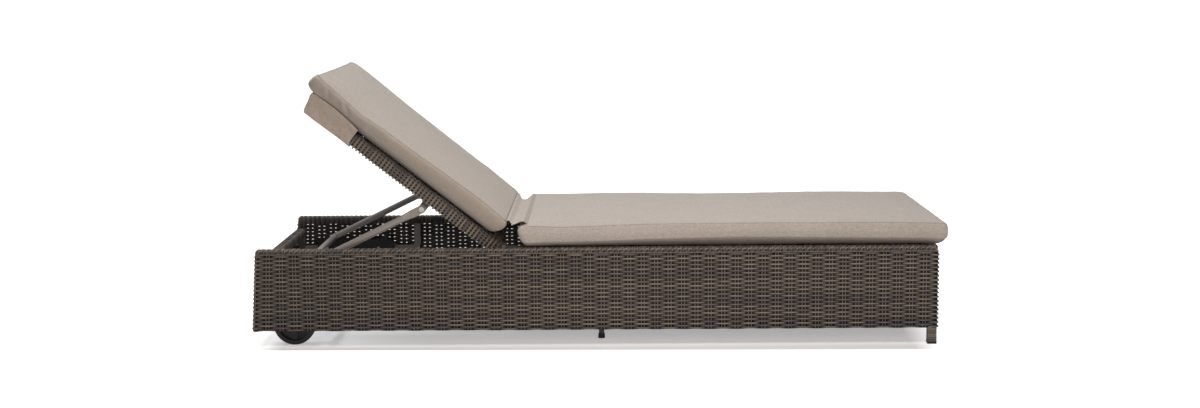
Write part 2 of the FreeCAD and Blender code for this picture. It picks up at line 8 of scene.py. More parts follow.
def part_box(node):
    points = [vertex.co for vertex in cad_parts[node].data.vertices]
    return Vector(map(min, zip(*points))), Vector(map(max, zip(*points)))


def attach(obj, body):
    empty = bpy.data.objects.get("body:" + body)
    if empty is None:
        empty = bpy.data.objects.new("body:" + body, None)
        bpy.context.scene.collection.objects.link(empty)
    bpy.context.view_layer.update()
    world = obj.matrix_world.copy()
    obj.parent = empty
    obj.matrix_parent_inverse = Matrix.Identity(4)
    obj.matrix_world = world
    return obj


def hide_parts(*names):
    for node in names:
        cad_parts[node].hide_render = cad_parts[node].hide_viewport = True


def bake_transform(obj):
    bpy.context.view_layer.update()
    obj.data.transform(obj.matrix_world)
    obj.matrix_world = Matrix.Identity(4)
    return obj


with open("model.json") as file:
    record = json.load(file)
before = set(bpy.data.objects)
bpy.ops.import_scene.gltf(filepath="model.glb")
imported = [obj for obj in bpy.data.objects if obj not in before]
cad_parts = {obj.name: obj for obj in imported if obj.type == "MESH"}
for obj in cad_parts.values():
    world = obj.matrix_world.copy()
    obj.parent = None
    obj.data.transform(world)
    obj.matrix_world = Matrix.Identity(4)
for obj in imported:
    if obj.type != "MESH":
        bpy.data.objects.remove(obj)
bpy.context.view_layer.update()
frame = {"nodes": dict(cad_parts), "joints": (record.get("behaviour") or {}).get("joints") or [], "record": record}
mm = 0.001
quarter = math.pi / 2

# Measures read from the frame, in metres
wallLow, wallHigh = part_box("side_weave_left")
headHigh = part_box("head_weave")[1]
railLow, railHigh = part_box("top_rail_left")
lowRailLow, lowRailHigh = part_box("bottom_rail_left")
deckLow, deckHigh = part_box("seat_weave")
backTubeIn, backHalf = (corner.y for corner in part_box("back_side_weave_left"))
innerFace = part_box("side_rim_left")[0].y
headEnd, footEnd, sideOut = wallLow.x, wallHigh.x, wallHigh.y
hingeJoint = next(j for j in frame["joints"] if j["name"] == "backrest_hinge")
hinge = Vector(hingeJoint["pos_m"])
backTurn = math.radians(-hingeJoint["range_deg"][0])

# The hinge is above the middle plane of the back, and the back's skins lie on both sides of that plane
hingeAboveMiddle = 8 * mm
backSkin = 20 * mm


# Small helpers for working as in the viewport

def choose(piece):
    bpy.ops.object.select_all(action="DESELECT")
    piece.select_set(True)
    bpy.context.view_layer.objects.active = piece


def selectAll(action="SELECT"):
    bpy.ops.mesh.select_all(action=action)


def openMesh(piece):
    choose(piece)
    bpy.ops.object.mode_set(mode="EDIT")
    selectAll()


def closeMesh():
    bpy.ops.object.mode_set(mode="OBJECT")


def applyPlace():
    bpy.ops.object.transform_apply(location=True, rotation=True, scale=True)
    return bpy.context.object


def resizeMesh(size, centre=(0, 0, 0)):
    bpy.ops.transform.resize(value=size, center_override=centre)


def moveMesh(step):
    bpy.ops.transform.translate(value=step)


def extrudeMesh(step, count=1):
    for turn in range(count):
        bpy.ops.mesh.extrude_region_move(TRANSFORM_OT_translate={"value": step})


def shift(piece, step):
    openMesh(piece)
    moveMesh(step)
    closeMesh()


def outline(sides, fill, size, place, alongX=True):
    # the cross-section of a strand, left open in edit mode so that it can be extruded
    turn = (quarter, 0, quarter) if alongX else (0, 0, 0)
    bpy.ops.mesh.primitive_circle_add(vertices=sides, radius=0.5, fill_type=fill, location=(0, 0, 0),
                                      rotation=turn)
    piece = applyPlace()
    openMesh(piece)
    resizeMesh(size)
    moveMesh(place)
    return piece


def applyModifier(piece, kind, **settings):
    modifier = piece.modifiers.new(kind.title(), kind)
    for key, value in settings.items():
        setattr(modifier, key, value)
    choose(piece)
    bpy.ops.object.modifier_apply(modifier=modifier.name)


def repeat(piece, step, count, weld=False):
    applyModifier(piece, "ARRAY", count=count, use_relative_offset=False, use_constant_offset=True,
                  constant_offset_displace=step, use_merge_vertices=weld, merge_threshold=0.02 * mm)


def trim(piece, place, direction):
    openMesh(piece)
    bpy.ops.mesh.bisect(plane_co=(place, 0, 0), plane_no=(direction, 0, 0), clear_outer=True, use_fill=True)
    closeMesh()


def joinPieces(name, pieces):
    choose(pieces[0])
    for other in pieces[1:]:
        other.select_set(True)
    bpy.ops.object.join()
    pieces[0].name = name
    pieces[0].data.name = name
    return pieces[0]


def faceOutwards(piece, weld=0.0):
    openMesh(piece)
    if weld:
        bpy.ops.mesh.remove_doubles(threshold=weld)
    bpy.ops.mesh.normals_make_consistent(inside=False)
    closeMesh()


def readPoints(piece, field="co"):
    # three rows: x, y and z
    flat = np.empty(len(piece.data.vertices) * 3, np.float32)
    piece.data.vertices.foreach_get(field, flat)
    return flat.reshape(-1, 3).astype(float).T


def writePoints(piece, x, y, z):
    piece.data.vertices.foreach_set("co", np.stack([x, y, z], axis=1).astype(np.float32).ravel())
    piece.data.update()


def writeValues(piece, name, values):
    attribute = piece.data.attributes.get(name) or piece.data.attributes.new(name, "FLOAT", "POINT")
    attribute.data.foreach_set("value", np.ascontiguousarray(values, np.float32))


def readValues(piece, name):
    values = np.empty(len(piece.data.vertices), np.float32)
    piece.data.attributes[name].data.foreach_get("value", values)
    return values.astype(float)


def copyPiece(piece, name):
    twin = piece.copy()
    twin.data = piece.data.copy()
    twin.name = name
    twin.data.name = name
    bpy.context.scene.collection.objects.link(twin)
    return twin


def finishPiece(piece, look, body, slot, *nodes):
    faceOutwards(piece)
    choose(piece)
    bpy.ops.object.shade_smooth()
    piece.data.materials.clear()
    piece.data.materials.append(look)
    if body:
        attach(piece, body)
    if nodes:
        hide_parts(*nodes)


def part(value, start, size):
    # how far a value is on its way from start, over size, between 0 and 1
    return np.clip((value - start) / size, 0, 1)


def fromBack(across, s, n):
    # a point of the raised back, from places measured along it and square to it
    up = n - hingeAboveMiddle
    return (hinge.x - s * math.cos(backTurn) + up * math.sin(backTurn), across,
            hinge.z + s * math.sin(backTurn) + up * math.cos(backTurn))


def bend(u, h, start, heading, inside, legs):
    # lays a flat strip on a path of straight legs and round corners; h is the depth under the path
    out = np.zeros((len(u), 2))
    place, angle, done = np.array(start, float), heading, 0.0
    for count, (length, turn) in enumerate(legs):
        along = np.array([math.cos(angle), math.sin(angle)])
        inward = inside * np.array([-math.sin(angle), math.cos(angle)])
        here = (u >= done) if count else np.ones(len(u), bool)
        t = u - done
        if turn == 0:
            out[here] = place + np.outer(t[here], along) + np.outer(h[here], inward)
            place = place + along * length
        else:
            radius = length / turn
            centre = place + inward * radius
            swing = inside * np.clip(t[here], 0, length) / radius
            reach = np.maximum(radius - h[here], 0.25 * mm)
            c, s = np.cos(swing), np.sin(swing)
            spoke = np.stack([-inward[0] * c + inward[1] * s, -inward[0] * s - inward[1] * c], axis=1)
            out[here] = centre + spoke * reach[:, None]
            angle += inside * turn
            newInward = inside * np.array([-math.sin(angle), math.cos(angle)])
            place = centre - newInward * radius
        done += length
    return out.T


# Materials

class Num:
    # a number that runs through a shader, so that sums can be written plainly
    def __init__(self, look, socket):
        self.look, self.socket = look, socket

    def sum(self, operation, first, second):
        return self.look.number("ShaderNodeMath", {"operation": operation}, {0: first, 1: second})

    def __add__(self, other): return self.sum("ADD", self, other)
    def __radd__(self, other): return self.sum("ADD", other, self)
    def __sub__(self, other): return self.sum("SUBTRACT", self, other)
    def __rsub__(self, other): return self.sum("SUBTRACT", other, self)
    def __mul__(self, other): return self.sum("MULTIPLY", self, other)


class Look:
    def __init__(self, name, roughness=0.5, specular=0.5, metallic=0.0):
        self.material = bpy.data.materials.new(name)
        self.material.use_nodes = True
        self.tree = self.material.node_tree
        self.shader = next(n for n in self.tree.nodes if n.type == "BSDF_PRINCIPLED")
        self.output = next(n for n in self.tree.nodes if n.type == "OUTPUT_MATERIAL")
        for key, value in (("Roughness", roughness), ("Specular IOR Level", specular), ("Metallic", metallic)):
            self.shader.inputs[key].default_value = value

    def make(self, kind, settings=None, sockets=None):
        node = self.tree.nodes.new(kind)
        for key, value in (settings or {}).items():
            if key == "stops":
                for extra in value[2:]:
                    node.color_ramp.elements.new(extra[0])
                for element, (place, colour) in zip(node.color_ramp.elements, value):
                    element.position = place
                    element.color = (*colour, 1.0)
            else:
                setattr(node, key, value)
        for key, value in (sockets or {}).items():
            if isinstance(value, Num):
                value = value.socket
            if isinstance(value, bpy.types.NodeSocket):
                self.tree.links.new(value, node.inputs[key])
            else:
                node.inputs[key].default_value = value
        return node

    def number(self, kind, settings=None, sockets=None, output=0):
        return Num(self, self.make(kind, settings, sockets).outputs[output])

    def value(self, name):
        # a number painted on the points of the mesh
        return self.number("ShaderNodeAttribute", {"attribute_name": name}, {}, "Fac")

    def place(self, scale=(1, 1, 1), turn=(0, 0, 0)):
        # Object coordinates, turned and stretched
        coords = self.make("ShaderNodeTexCoord").outputs["Object"]
        turned = self.make("ShaderNodeMapping", {}, {"Vector": coords, "Rotation": turn}).outputs[0]
        return self.make("ShaderNodeMapping", {}, {"Vector": turned, "Scale": scale}).outputs[0]

    def clouds(self, scale, detail=2.0, roughness=0.5, turn=(0, 0, 0)):
        scale = scale if isinstance(scale, tuple) else (scale,) * 3
        return self.number("ShaderNodeTexNoise", {}, {"Vector": self.place(scale, turn), "Scale": 1.0,
                                                       "Detail": detail, "Roughness": roughness})

    def spread(self, value, low, high, outLow=0.0, outHigh=1.0):
        return self.number("ShaderNodeMapRange", {"clamp": True},
                           {"Value": value, "From Min": low, "From Max": high,
                            "To Min": outLow, "To Max": outHigh})

    def paint(self, mask, first, second, way="MIX"):
        first, second = ((*c, 1.0) if isinstance(c, tuple) else c for c in (first, second))
        return self.make("ShaderNodeMix", {"data_type": "RGBA", "blend_type": way},
                         {0: mask, 6: first, 7: second}).outputs[2]

    def ramp(self, value, stops):
        return self.make("ShaderNodeValToRGB", {"stops": stops}, {0: value}).outputs[0]

    def shade(self, colour, value):
        # colour made lighter or darker by a number
        grey = self.make("ShaderNodeCombineColor", {}, {0: value, 1: value, 2: value}).outputs[0]
        return self.paint(1.0, colour, grey, "MULTIPLY")

    def wear(self, colour, roughness, height, bumpDepth, bumpStrength):
        self.tree.links.new(colour, self.shader.inputs["Base Color"])
        if roughness is not None:
            self.tree.links.new(roughness.socket, self.shader.inputs["Roughness"])
        bump = self.make("ShaderNodeBump", {}, {"Height": height, "Distance": bumpDepth,
                                                "Strength": bumpStrength})
        self.tree.links.new(bump.outputs[0], self.shader.inputs["Normal"])
        return self.material


rattan = {
    "khaki": (0.275, 0.224, 0.182), "khakiDark": (0.195, 0.159, 0.131),
    "stone": (0.175, 0.145, 0.136), "stoneDark": (0.114, 0.097, 0.094),
    "streakLong": 14, "streakFine": 900, "recessShade": 0.92,
}


def rattanLook(name, grain, turn=(0, 0, 0)):
    look = Look(name, roughness=0.46, specular=0.35)
    stretch = tuple(rattan["streakLong"] if axis == grain else rattan["streakFine"] for axis in "xyz")
    tone = look.value("tone")
    streak = look.clouds(stretch, 3.0, 0.6, turn)
    fade = look.clouds(7)
    colour = look.ramp(tone, [(0.0, rattan["khaki"]), (1.0, rattan["stoneDark"]),
                              (0.38, rattan["khakiDark"]), (0.62, rattan["stone"])])
    depth = 0.72 + streak * 0.36 + fade * 0.22
    # painted shade: the colour darkens by the value painted on points that lie deep in the weave, under a strand or
    # between two stakes
    deep = look.value("deep")
    colour = look.shade(colour, depth * (1 - deep * rattan["recessShade"]))
    rough = look.spread(streak, 0.3, 0.7, 0.40, 0.58) + deep * 0.4
    return look.wear(colour, rough, streak, 0.25 * mm, 0.55)


fabric = {
    "light": (0.566, 0.508, 0.458), "dark": (0.412, 0.352, 0.304), "slub": (0.648, 0.590, 0.538),
    "flank": (0.390, 0.312, 0.248),
}


def fabricLook(name, turn, lightAndShadeTint):
    look = Look(name, roughness=0.86, specular=0.22)
    look.shader.inputs["Sheen Weight"].default_value = 0.18
    look.shader.inputs["Sheen Roughness"].default_value = 0.45
    light, dark, slub = (tuple(c * w for c, w in zip(fabric[key], lightAndShadeTint)) for key in ("light", "dark", "slub"))
    warp = look.clouds((55, 620, 620), 3.0, 0.62, turn)
    weft = look.clouds((620, 55, 240), 3.0, 0.62, turn)
    cross = look.clouds((240, 620, 60), 2.0, 0.6, turn)
    speck = look.clouds(260, 2.0, 0.7, turn)
    broad = look.clouds(9, 2.0, 0.5, turn)
    threads = warp * 0.40 + weft * 0.36 + cross * 0.24
    colour = look.paint(look.spread(threads, 0.40, 0.60), dark, light)
    colour = look.paint(look.spread(weft, 0.58, 0.72, 0.0, 0.65), colour, slub)
    colour = look.shade(colour, 0.90 + broad * 0.10 + speck * 0.10)
    # painted shade: the side walls of the back cushion darker and warmer
    colour = look.paint(look.value("flank") * 0.5, colour, fabric["flank"])
    # seam and hem lines darker, and a painted shade under the lower edge of the cover
    colour = look.shade(colour, 1.0 - look.value("seam") * 0.36)
    return look.wear(colour, None, threads * 0.7 + speck * 0.3, 0.45 * mm, 0.6)


def plasticLook(name, colour, roughness):
    look = Look(name, roughness=roughness, specular=0.30)
    grainy = look.clouds(1500, 2.0, 0.6)
    scuffs = look.clouds(38, 4.0, 0.7)
    light = tuple(c * 1.7 + 0.002 for c in colour)
    painted = look.paint(look.spread(scuffs, 0.52, 0.78), colour, light)
    rough = look.spread(scuffs, 0.35, 0.7, roughness - 0.08, roughness + 0.12)
    return look.wear(painted, rough, grainy, 0.12 * mm, 0.45)


def coatLook(name, colour, roughness):
    look = Look(name, roughness=roughness)
    peel = look.clouds(420)
    flecks = look.clouds(2400, 1.0)
    handling = look.clouds(16, 3.0, 0.6)
    light = tuple(min(c * 1.16, 1.0) for c in colour)
    painted = look.paint(look.spread(flecks, 0.42, 0.62), colour, light)
    painted = look.shade(painted, 0.93 + handling * 0.14)
    rough = look.spread(handling, 0.3, 0.7, roughness - 0.05, roughness + 0.09)
    return look.wear(painted, rough, peel, 0.10 * mm, 0.35)


def platedLook(name):
    look = Look(name, roughness=0.34, metallic=1.0)
    spangle = look.clouds(240, 3.0, 0.6)
    brushed = look.clouds((60, 1600, 60))
    colour = look.ramp(spangle, [(0.30, (0.28, 0.27, 0.26)), (0.72, (0.42, 0.39, 0.33)),
                                 (0.50, (0.35, 0.34, 0.33))])
    rough = look.spread(brushed, 0.3, 0.7, 0.26, 0.46)
    return look.wear(colour, rough, brushed, 0.05 * mm, 0.4)


alongBack = (0, -backTurn, 0)
rattanX = rattanLook("rattan_along_x", "x")
rattanY = rattanLook("rattan_along_y", "y")
rattanZ = rattanLook("rattan_along_z", "z")
# each copy of the cover fabric is tinted as painted light and shade: the seat lighter and bluer on top, the back
# darker, the hood darker and warmer, the cloth a little darker
cushionLook = fabricLook("melange_cover", (0, 0, 0), (1.005, 1.012, 1.03))
backCushionLook = fabricLook("melange_cover_back", alongBack, (0.945, 0.94, 0.94))
coverLook = fabricLook("melange_cover_cloth", alongBack, (0.97, 0.97, 0.96))
hoodLook = fabricLook("melange_cover_hood", alongBack, (0.945, 0.887, 0.850))
frameLook = coatLook("brown_powder_coat", (0.085, 0.070, 0.058), 0.50)
tubeLook = coatLook("grey_brown_powder_coat", (0.275, 0.244, 0.224), 0.36)
blackLook = plasticLook("black_moulding", (0.0045, 0.0045, 0.0052), 0.46)
zincLook = platedLook("zinc_plate")
print("materials ready")


# Woven strands. Flat strips are made first: x along the strand, y into the wall, z from row to row

toneDraw = np.random.RandomState(11)


def strandAt(s, x, side):
    # depth, width and height of a strand, which is narrow in front of a stake and broad behind one
    wave = side * max(-1.0, min(1.0, s["flatness"] * math.cos(math.pi * x / s["columnPitch"])))
    passing = s["crossingWidth"]
    width = passing + (s["width"] - passing) * max(wave, 0) + (s["behindWidth"] - passing) * max(-wave, 0)
    return s["middle"] - s["swing"] * wave, width, -s["drop"] * (1 - wave) / 2


def strand(s, side):
    # one wave of one strand, in front of the stakes at x = 0 where side is 1
    length = 2 * s["columnPitch"]
    depth, width, height = strandAt(s, 0, side)
    piece = outline(s["sides"], "NOTHING", (1, s["thick"], width), (0, depth, height))
    for step in range(1, s["segments"] + 1):
        x = length * step / s["segments"]
        was = depth, width, height
        depth, width, height = strandAt(s, x, side)
        extrudeMesh((length / s["segments"], depth - was[0], height - was[2]))
        resizeMesh((1, 1, width / was[1]), (x, depth, height))
    closeMesh()
    return piece


def weaveStrip(s, uStart, uEnd, vStart, rows):
    # strands in rows, odd rows half a wave behind even ones
    wave = 2 * s["columnPitch"]
    first = math.floor(uStart / wave) * wave
    even, odd = strand(s, 1), strand(s, -1)
    shift(odd, (0, 0, s["rowPitch"]))
    strip = joinPieces("strip", [even, odd])
    shift(strip, (first, 0, vStart))
    repeat(strip, (wave, 0, 0), math.ceil((uEnd - first) / wave), weld=True)
    trim(strip, uStart, -1)
    trim(strip, uEnd, 1)
    repeat(strip, (0, 0, 2 * s["rowPitch"]), rows // 2)
    return strip


def stakeStrip(s, uStart, uEnd, vStart, vEnd, cuts):
    # the stakes that the strands go round: one, or two with a core between them, to a column
    first = math.ceil((uStart + s["stakeApart"] / 2 + s["stakeWidth"] / 2) / s["columnPitch"])
    last = math.floor((uEnd - s["stakeApart"] / 2 - s["stakeWidth"] / 2) / s["columnPitch"])
    sizes = [(0, s["stakeWidth"], s["stakeThick"])]
    if s["stakeApart"]:
        sizes = [(side, s["stakeWidth"], s["stakeThick"]) for side in (-1, 1)]
        sizes.append((0, s["stakeApart"] - s["stakeWidth"] + s["coreWiden"], s["coreThick"]))
    made = []
    for side, width, thick in sizes:
        place = (first * s["columnPitch"] + side * s["stakeApart"] / 2, s["middle"], vStart)
        made.append(outline(6, "NGON", (width, thick, 1), place, alongX=False))
        extrudeMesh((0, 0, (vEnd - vStart) / (cuts + 1)), cuts + 1)
        closeMesh()
    strip = joinPieces("stakes", made)
    repeat(strip, (s["columnPitch"], 0, 0), last - first + 1)
    return strip


def rowTones(x, z, rowPitch, vStart):
    # each row is one strand that changes for another now and then
    row = np.round((z - vStart) / rowPitch).astype(int)
    row -= row.min()
    count = row.max() + 1
    tones = toneDraw.beta(0.55, 0.62, (count, 24))
    lengths = toneDraw.uniform(0.45, 1.5, count)
    starts = toneDraw.uniform(0, 1.5, count)
    run = np.floor((x + 4.0 + starts[row]) / lengths[row]).astype(int) % 24
    return tones[row, run]


def sway(a, b, size):
    # slow unevenness of hand weaving
    return size * (np.sin(a * 9.1 + b * 23.0) + np.sin(a * 21.7 - b * 41.0 + 1.3)
                   + 0.7 * np.sin(a * 53.0 + b * 97.0 + 0.4)) / 2.7


def wovenPanel(name, s, uStart, uEnd, vStart, vEnd, stakeCuts):
    # strands and stakes in one flat piece, with the tone of each strand and a painted shade on each point: darker
    # the deeper it lies, on the lower side of each strand and in the core between two stakes
    rows = 2 * int((vEnd - vStart) / s["rowPitch"] / 2 + 0.5)
    pitch = (vEnd - vStart) / rows
    fitted = dict(s, rowPitch=pitch)
    wefts = weaveStrip(fitted, uStart, uEnd, vStart + pitch / 2, rows)
    x, y, z = readPoints(wefts)
    writeValues(wefts, "tone", rowTones(x, z, pitch, vStart + pitch / 2))
    fromRow = (z - vStart) / pitch - 0.5
    fromRow = (fromRow - np.round(fromRow)) * pitch
    # painted shade on the lower side of each strand
    under = part(-fromRow, 0.12 * s["width"], 0.38 * s["width"]) * s["underShade"]
    writePoints(wefts, x, y, z + sway(x, z, s["uneven"]))
    stakes = stakeStrip(fitted, uStart, uEnd, vStart, vEnd, stakeCuts)
    writeValues(stakes, "tone", np.full(len(stakes.data.vertices), s["stakeTone"]))
    panel = joinPieces(name, [wefts, stakes])
    x, y, z = readPoints(panel)
    # painted shade by depth, full in the core between two stakes
    deep = part(y, s["shadeFrom"], s["shadeTo"] - s["shadeFrom"])
    if s["stakeApart"]:
        fromColumn = np.abs(x / s["columnPitch"] - np.round(x / s["columnPitch"])) * s["columnPitch"]
        isCore = fromColumn < (s["stakeApart"] - s["stakeWidth"]) / 2 - 0.1 * mm
        isCore[:len(under)] = False
        deep[isCore] = 1.0
    deep[:len(under)] = np.maximum(deep[:len(under)], under)
    writeValues(panel, "deep", np.minimum(deep, s.get("shadeMost", 1.0)))
    return panel


wallWeave = {
    "columns": 69, "rowPitch": 6.2 * mm, "width": 5.0 * mm, "crossingWidth": 6.7 * mm,
    "behindWidth": 7.8 * mm, "drop": 1.1 * mm, "thick": 2.8 * mm, "sides": 6, "segments": 8,
    "middle": 3.7 * mm, "swing": 2.8 * mm, "flatness": 1.15, "shadeFrom": 1.6 * mm, "shadeTo": 4.4 * mm,
    "stakeApart": 8.8 * mm, "stakeWidth": 3.3 * mm, "stakeThick": 3.0 * mm, "stakeTone": 0.16,
    "coreThick": 1.6 * mm, "coreWiden": -0.6 * mm, "underShade": 0.8, "uneven": 0.45 * mm,
    "looser": {"width": 6.0 * mm, "crossingWidth": 8.6 * mm, "behindWidth": 7.6 * mm, "drop": 1.5 * mm,
               "flatness": 1.1, "coreWiden": 1.2 * mm, "shadeMost": 0.72},
    "cornerRadius": 5 * mm, "headReturn": 23 * mm, "rimBand": 17 * mm, "below": 3.8 * mm,
    "pressed": 3.8 * mm, "besideTube": 1 * mm, "besidePost": 6 * mm, "hangerTube": 21 * mm,
    "proud": 3.2 * mm, "lean": (5.5 * mm, -9.0 * mm), "leanReach": 150 * mm,
}


def wallMeasures(s):
    # lengths round half the lounger, from the middle of the head end to the middle of the foot end
    arc = s["cornerRadius"] * quarter
    headHalf = sideOut - s["cornerRadius"] - s["headReturn"]
    sideRun = s["headReturn"] + arc + (footEnd - headEnd - 2 * s["cornerRadius"]) + arc
    whole = headHalf + sideRun + (sideOut - s["cornerRadius"])
    s["columnPitch"] = whole / s["columns"]
    return headHalf, sideRun, whole


headHalf, sideRun, halfRound = wallMeasures(wallWeave)
sideSpan = (headHalf, headHalf + sideRun)
endSpans = {"head": (-headHalf, headHalf), "foot": (headHalf + sideRun, 2 * halfRound - headHalf - sideRun)}


def onSideWall(u, h, hand=1):
    # from the head face, round its corner, along the side and round the foot corner
    s = wallWeave
    arc = s["cornerRadius"] * quarter
    legs = [(s["headReturn"], 0), (arc, quarter), (footEnd - headEnd - 2 * s["cornerRadius"], 0), (arc, quarter)]
    x, y = bend(u - headHalf, h, (headEnd, headHalf), quarter, -1, legs)
    return x, y * hand


def onEndWall(name, u, h, proud=0.0):
    return (headEnd - proud + h, u) if name == "head" else (footEnd + proud - h, halfRound - u)


def pressOnTubes(h, x, z, zones):
    # strands lie flat where a tube runs right behind them
    s = wallWeave
    pressed = np.zeros(len(h), bool)
    for low, high in zones:
        pressed |= (z > low) & (z < high)
    post = railHigh.y - railLow.y + s["besidePost"]
    pressed |= (x < headEnd + post) | (x > footEnd - post)
    low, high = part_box("ratchet_hanger_right")
    onHanger = (x > high.x - s["hangerTube"]) | (z < low.z + s["hangerTube"])
    pressed |= (x < high.x + s["besideTube"]) & (z > low.z - s["besideTube"]) & onHanger
    return np.where(pressed, np.minimum(h, s["pressed"]), h)


def leanAtHead(x, y, z):
    # the skin at the head end stands a little in at the rim and out at the floor
    s = wallWeave
    height = np.clip((z - wallLow.z) / (wallHigh.z - wallLow.z), 0, 1)
    near = np.clip(1 - (x - headEnd) / s["leanReach"], 0, 1) ** 1.5
    return x + near * (s["lean"][1] + (s["lean"][0] - s["lean"][1]) * height), y, z


def makeWalls():
    s = wallWeave
    beside = s["besideTube"]
    weaveLow, weaveTop = wallLow.z - s["below"], wallHigh.z - s["rimBand"]
    lowZone = (lowRailLow.z - beside, lowRailHigh.z + beside)
    zones = [lowZone, (railLow.z - beside, railHigh.z + beside)]
    headZones = [lowZone, (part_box("head_top_rail")[0].z - beside, headHigh.z)]
    for hand, name, slack in ((1, "left", s["looser"]), (-1, "right", {})):
        panel = wovenPanel("wall_weave_" + name, {**s, **slack}, *sideSpan, weaveLow, weaveTop, 3)
        u, h, z = readPoints(panel)
        ground = onSideWall(u, np.zeros(len(u)))[0]
        h = pressOnTubes(h, ground, z, zones)
        fromEnd = np.minimum(ground - headEnd, footEnd - ground)
        h -= s["proud"] * np.clip(1 - fromEnd / (3 * s["cornerRadius"]), 0, 1)
        writePoints(panel, *leanAtHead(*onSideWall(u, h, hand), z))
        finishPiece(panel, rattanX, "base", "wicker", "side_weave_" + name)
    for name, top, tubes in (("head", headHigh.z - s["rimBand"], headZones), ("foot", weaveTop, zones)):
        panel = wovenPanel("wall_weave_" + name, s, *endSpans[name], weaveLow, top, 3)
        u, h, z = readPoints(panel)
        h = pressOnTubes(h, np.zeros(len(u)), z, tubes)
        writePoints(panel, *leanAtHead(*onEndWall(name, u, h, s["proud"]), z))
        finishPiece(panel, rattanY, "base", "wicker", name + "_weave")
    print("walls woven")


makeWalls()

# Rims: strands wound side by side over the rail, a row of loops outside and a twisted pair under them

rimWrap = {
    "rowPitch": 5.25 * mm, "width": 5.0 * mm, "thick": 1.7 * mm, "sides": 4, "segments": 12,
    "middle": 0.1 * mm, "group": 3, "valley": 2.6 * mm, "valleyReach": 20 * mm, "bend": 5 * mm,
    "outsideDrop": 7 * mm, "insideDrop": 20 * mm, "postDepth": 26 * mm, "postDrop": 14 * mm,
    "outsideShade": 0.6, "outsideFade": 5 * mm, "insideShade": 0.45, "insideFade": 9 * mm,
    "headGap": 2 * mm, "footGap": 4 * mm, "endRound": 9 * mm, "footChamfer": 0.75,
}
rimLoop = {
    "apart": 15.75 * mm, "radius": 7.2 * mm, "width": 3.6 * mm, "thick": 1.9 * mm, "tall": 1.12,
    "sides": 5, "steps": 8, "slant": 0.085, "depth": 0.9 * mm, "below": 11.2 * mm, "headGap": 4 * mm,
}
rimTwine = {
    "columnPitch": 15.75 * mm, "rowPitch": 2.9 * mm, "width": 3.3 * mm, "thick": 1.8 * mm, "sides": 4,
    "segments": 6, "middle": 1.1 * mm, "swing": 0.65 * mm, "flatness": 1.0, "crossingWidth": 2.9 * mm,
    "behindWidth": 3.3 * mm, "drop": 0.0, "below": 14.6 * mm, "twist": 0.5 * mm, "tones": (0.62, 0.2),
    "headGap": 2 * mm,
}


def wrapStrip(length, vStart, vEnd, top):
    # wraps side by side, each third one a little sunk, with every one lying on the rail
    s = rimWrap
    strip = outline(s["sides"], "NGON", (1, s["thick"], s["width"]), (0, s["middle"], vStart + s["rowPitch"] / 2))
    extrudeMesh((length / s["segments"], 0, 0), s["segments"])
    closeMesh()
    repeat(strip, (0, 0, s["rowPitch"]), int((vEnd - vStart) / s["rowPitch"]))
    x, y, z = readPoints(strip)
    row = np.round((z - vStart) / s["rowPitch"] - 0.5).astype(int)
    sunk = np.array([0.0, 0.35, 1.0])[row % s["group"]] * s["valley"]
    writePoints(strip, x, y + sunk * np.clip(1 - np.abs(x - top) / s["valleyReach"], 0, 1), z)
    writeValues(strip, "tone", toneDraw.beta(0.7, 0.8, row.max() + 1)[row])
    # painted shade where the wraps drop outside and inside the rail, and on the sunk wraps
    outside = np.clip((s["outsideDrop"] + s["outsideFade"] - x) / s["outsideFade"], 0, 1)
    inside = np.clip((x - length + s["insideDrop"]) / s["insideFade"], 0, 1)
    writeValues(strip, "deep", np.maximum(outside * s["outsideShade"], inside * s["insideShade"]) + sunk / mm * 0.12)
    return strip


def loopStrip(uStart, uEnd, v):
    # one arch of strand, spun, then repeated along the wall; each arch passes behind the next
    s = rimLoop
    strip = outline(s["sides"], "NGON", (s["width"], s["thick"], 1), (s["radius"], 0, 0), alongX=False)
    bpy.ops.mesh.spin(steps=s["steps"], angle=-math.pi, center=(0, 0, 0), axis=(0, 1, 0))
    selectAll()
    resizeMesh((1, 1, s["tall"]))
    closeMesh()
    faceOutwards(strip)
    x, y, z = readPoints(strip)
    y += s["depth"] + x * s["slant"]
    if z.mean() < 0:
        z *= -1
    writePoints(strip, x + (uStart + s["apart"] / 2), y, z + v)
    count = int((uEnd - uStart) / s["apart"])
    repeat(strip, (s["apart"], 0, 0), count)
    loop = np.clip(np.floor((readPoints(strip)[0] - uStart) / s["apart"]), 0, count - 1).astype(int)
    writeValues(strip, "tone", toneDraw.beta(0.7, 0.9, count)[loop])
    return strip


def twineStrip(uStart, uEnd, v):
    s = rimTwine
    strip = weaveStrip(s, uStart, uEnd, v, 2)
    x, y, z = readPoints(strip)
    lower = z < v + s["rowPitch"] / 2
    writeValues(strip, "tone", np.where(lower, *s["tones"]))
    wave = np.sin(x * 2 * math.pi / s["columnPitch"] + np.where(lower, 0, math.pi))
    writePoints(strip, x, y, z + wave * s["twist"])
    return strip


def rimTrims(uStart, uEnd, height, headGap=1):
    return (loopStrip(uStart + rimLoop["headGap"] * headGap, uEnd, height - rimLoop["below"]),
            twineStrip(uStart + rimTwine["headGap"] * headGap, uEnd, height - rimTwine["below"]))


def rimPath(railWidth, insideDrop):
    # the legs of the path over a rail, their length, and how far along them the middle of the rail is
    s = rimWrap
    arc = s["bend"] * quarter
    flatTop = railWidth - 2 * s["bend"]
    legs = [(s["outsideDrop"], 0), (arc, quarter), (flatTop, 0), (arc, quarter), (insideDrop, 0)]
    return legs, sum(leg[0] for leg in legs), s["outsideDrop"] + arc + flatTop / 2


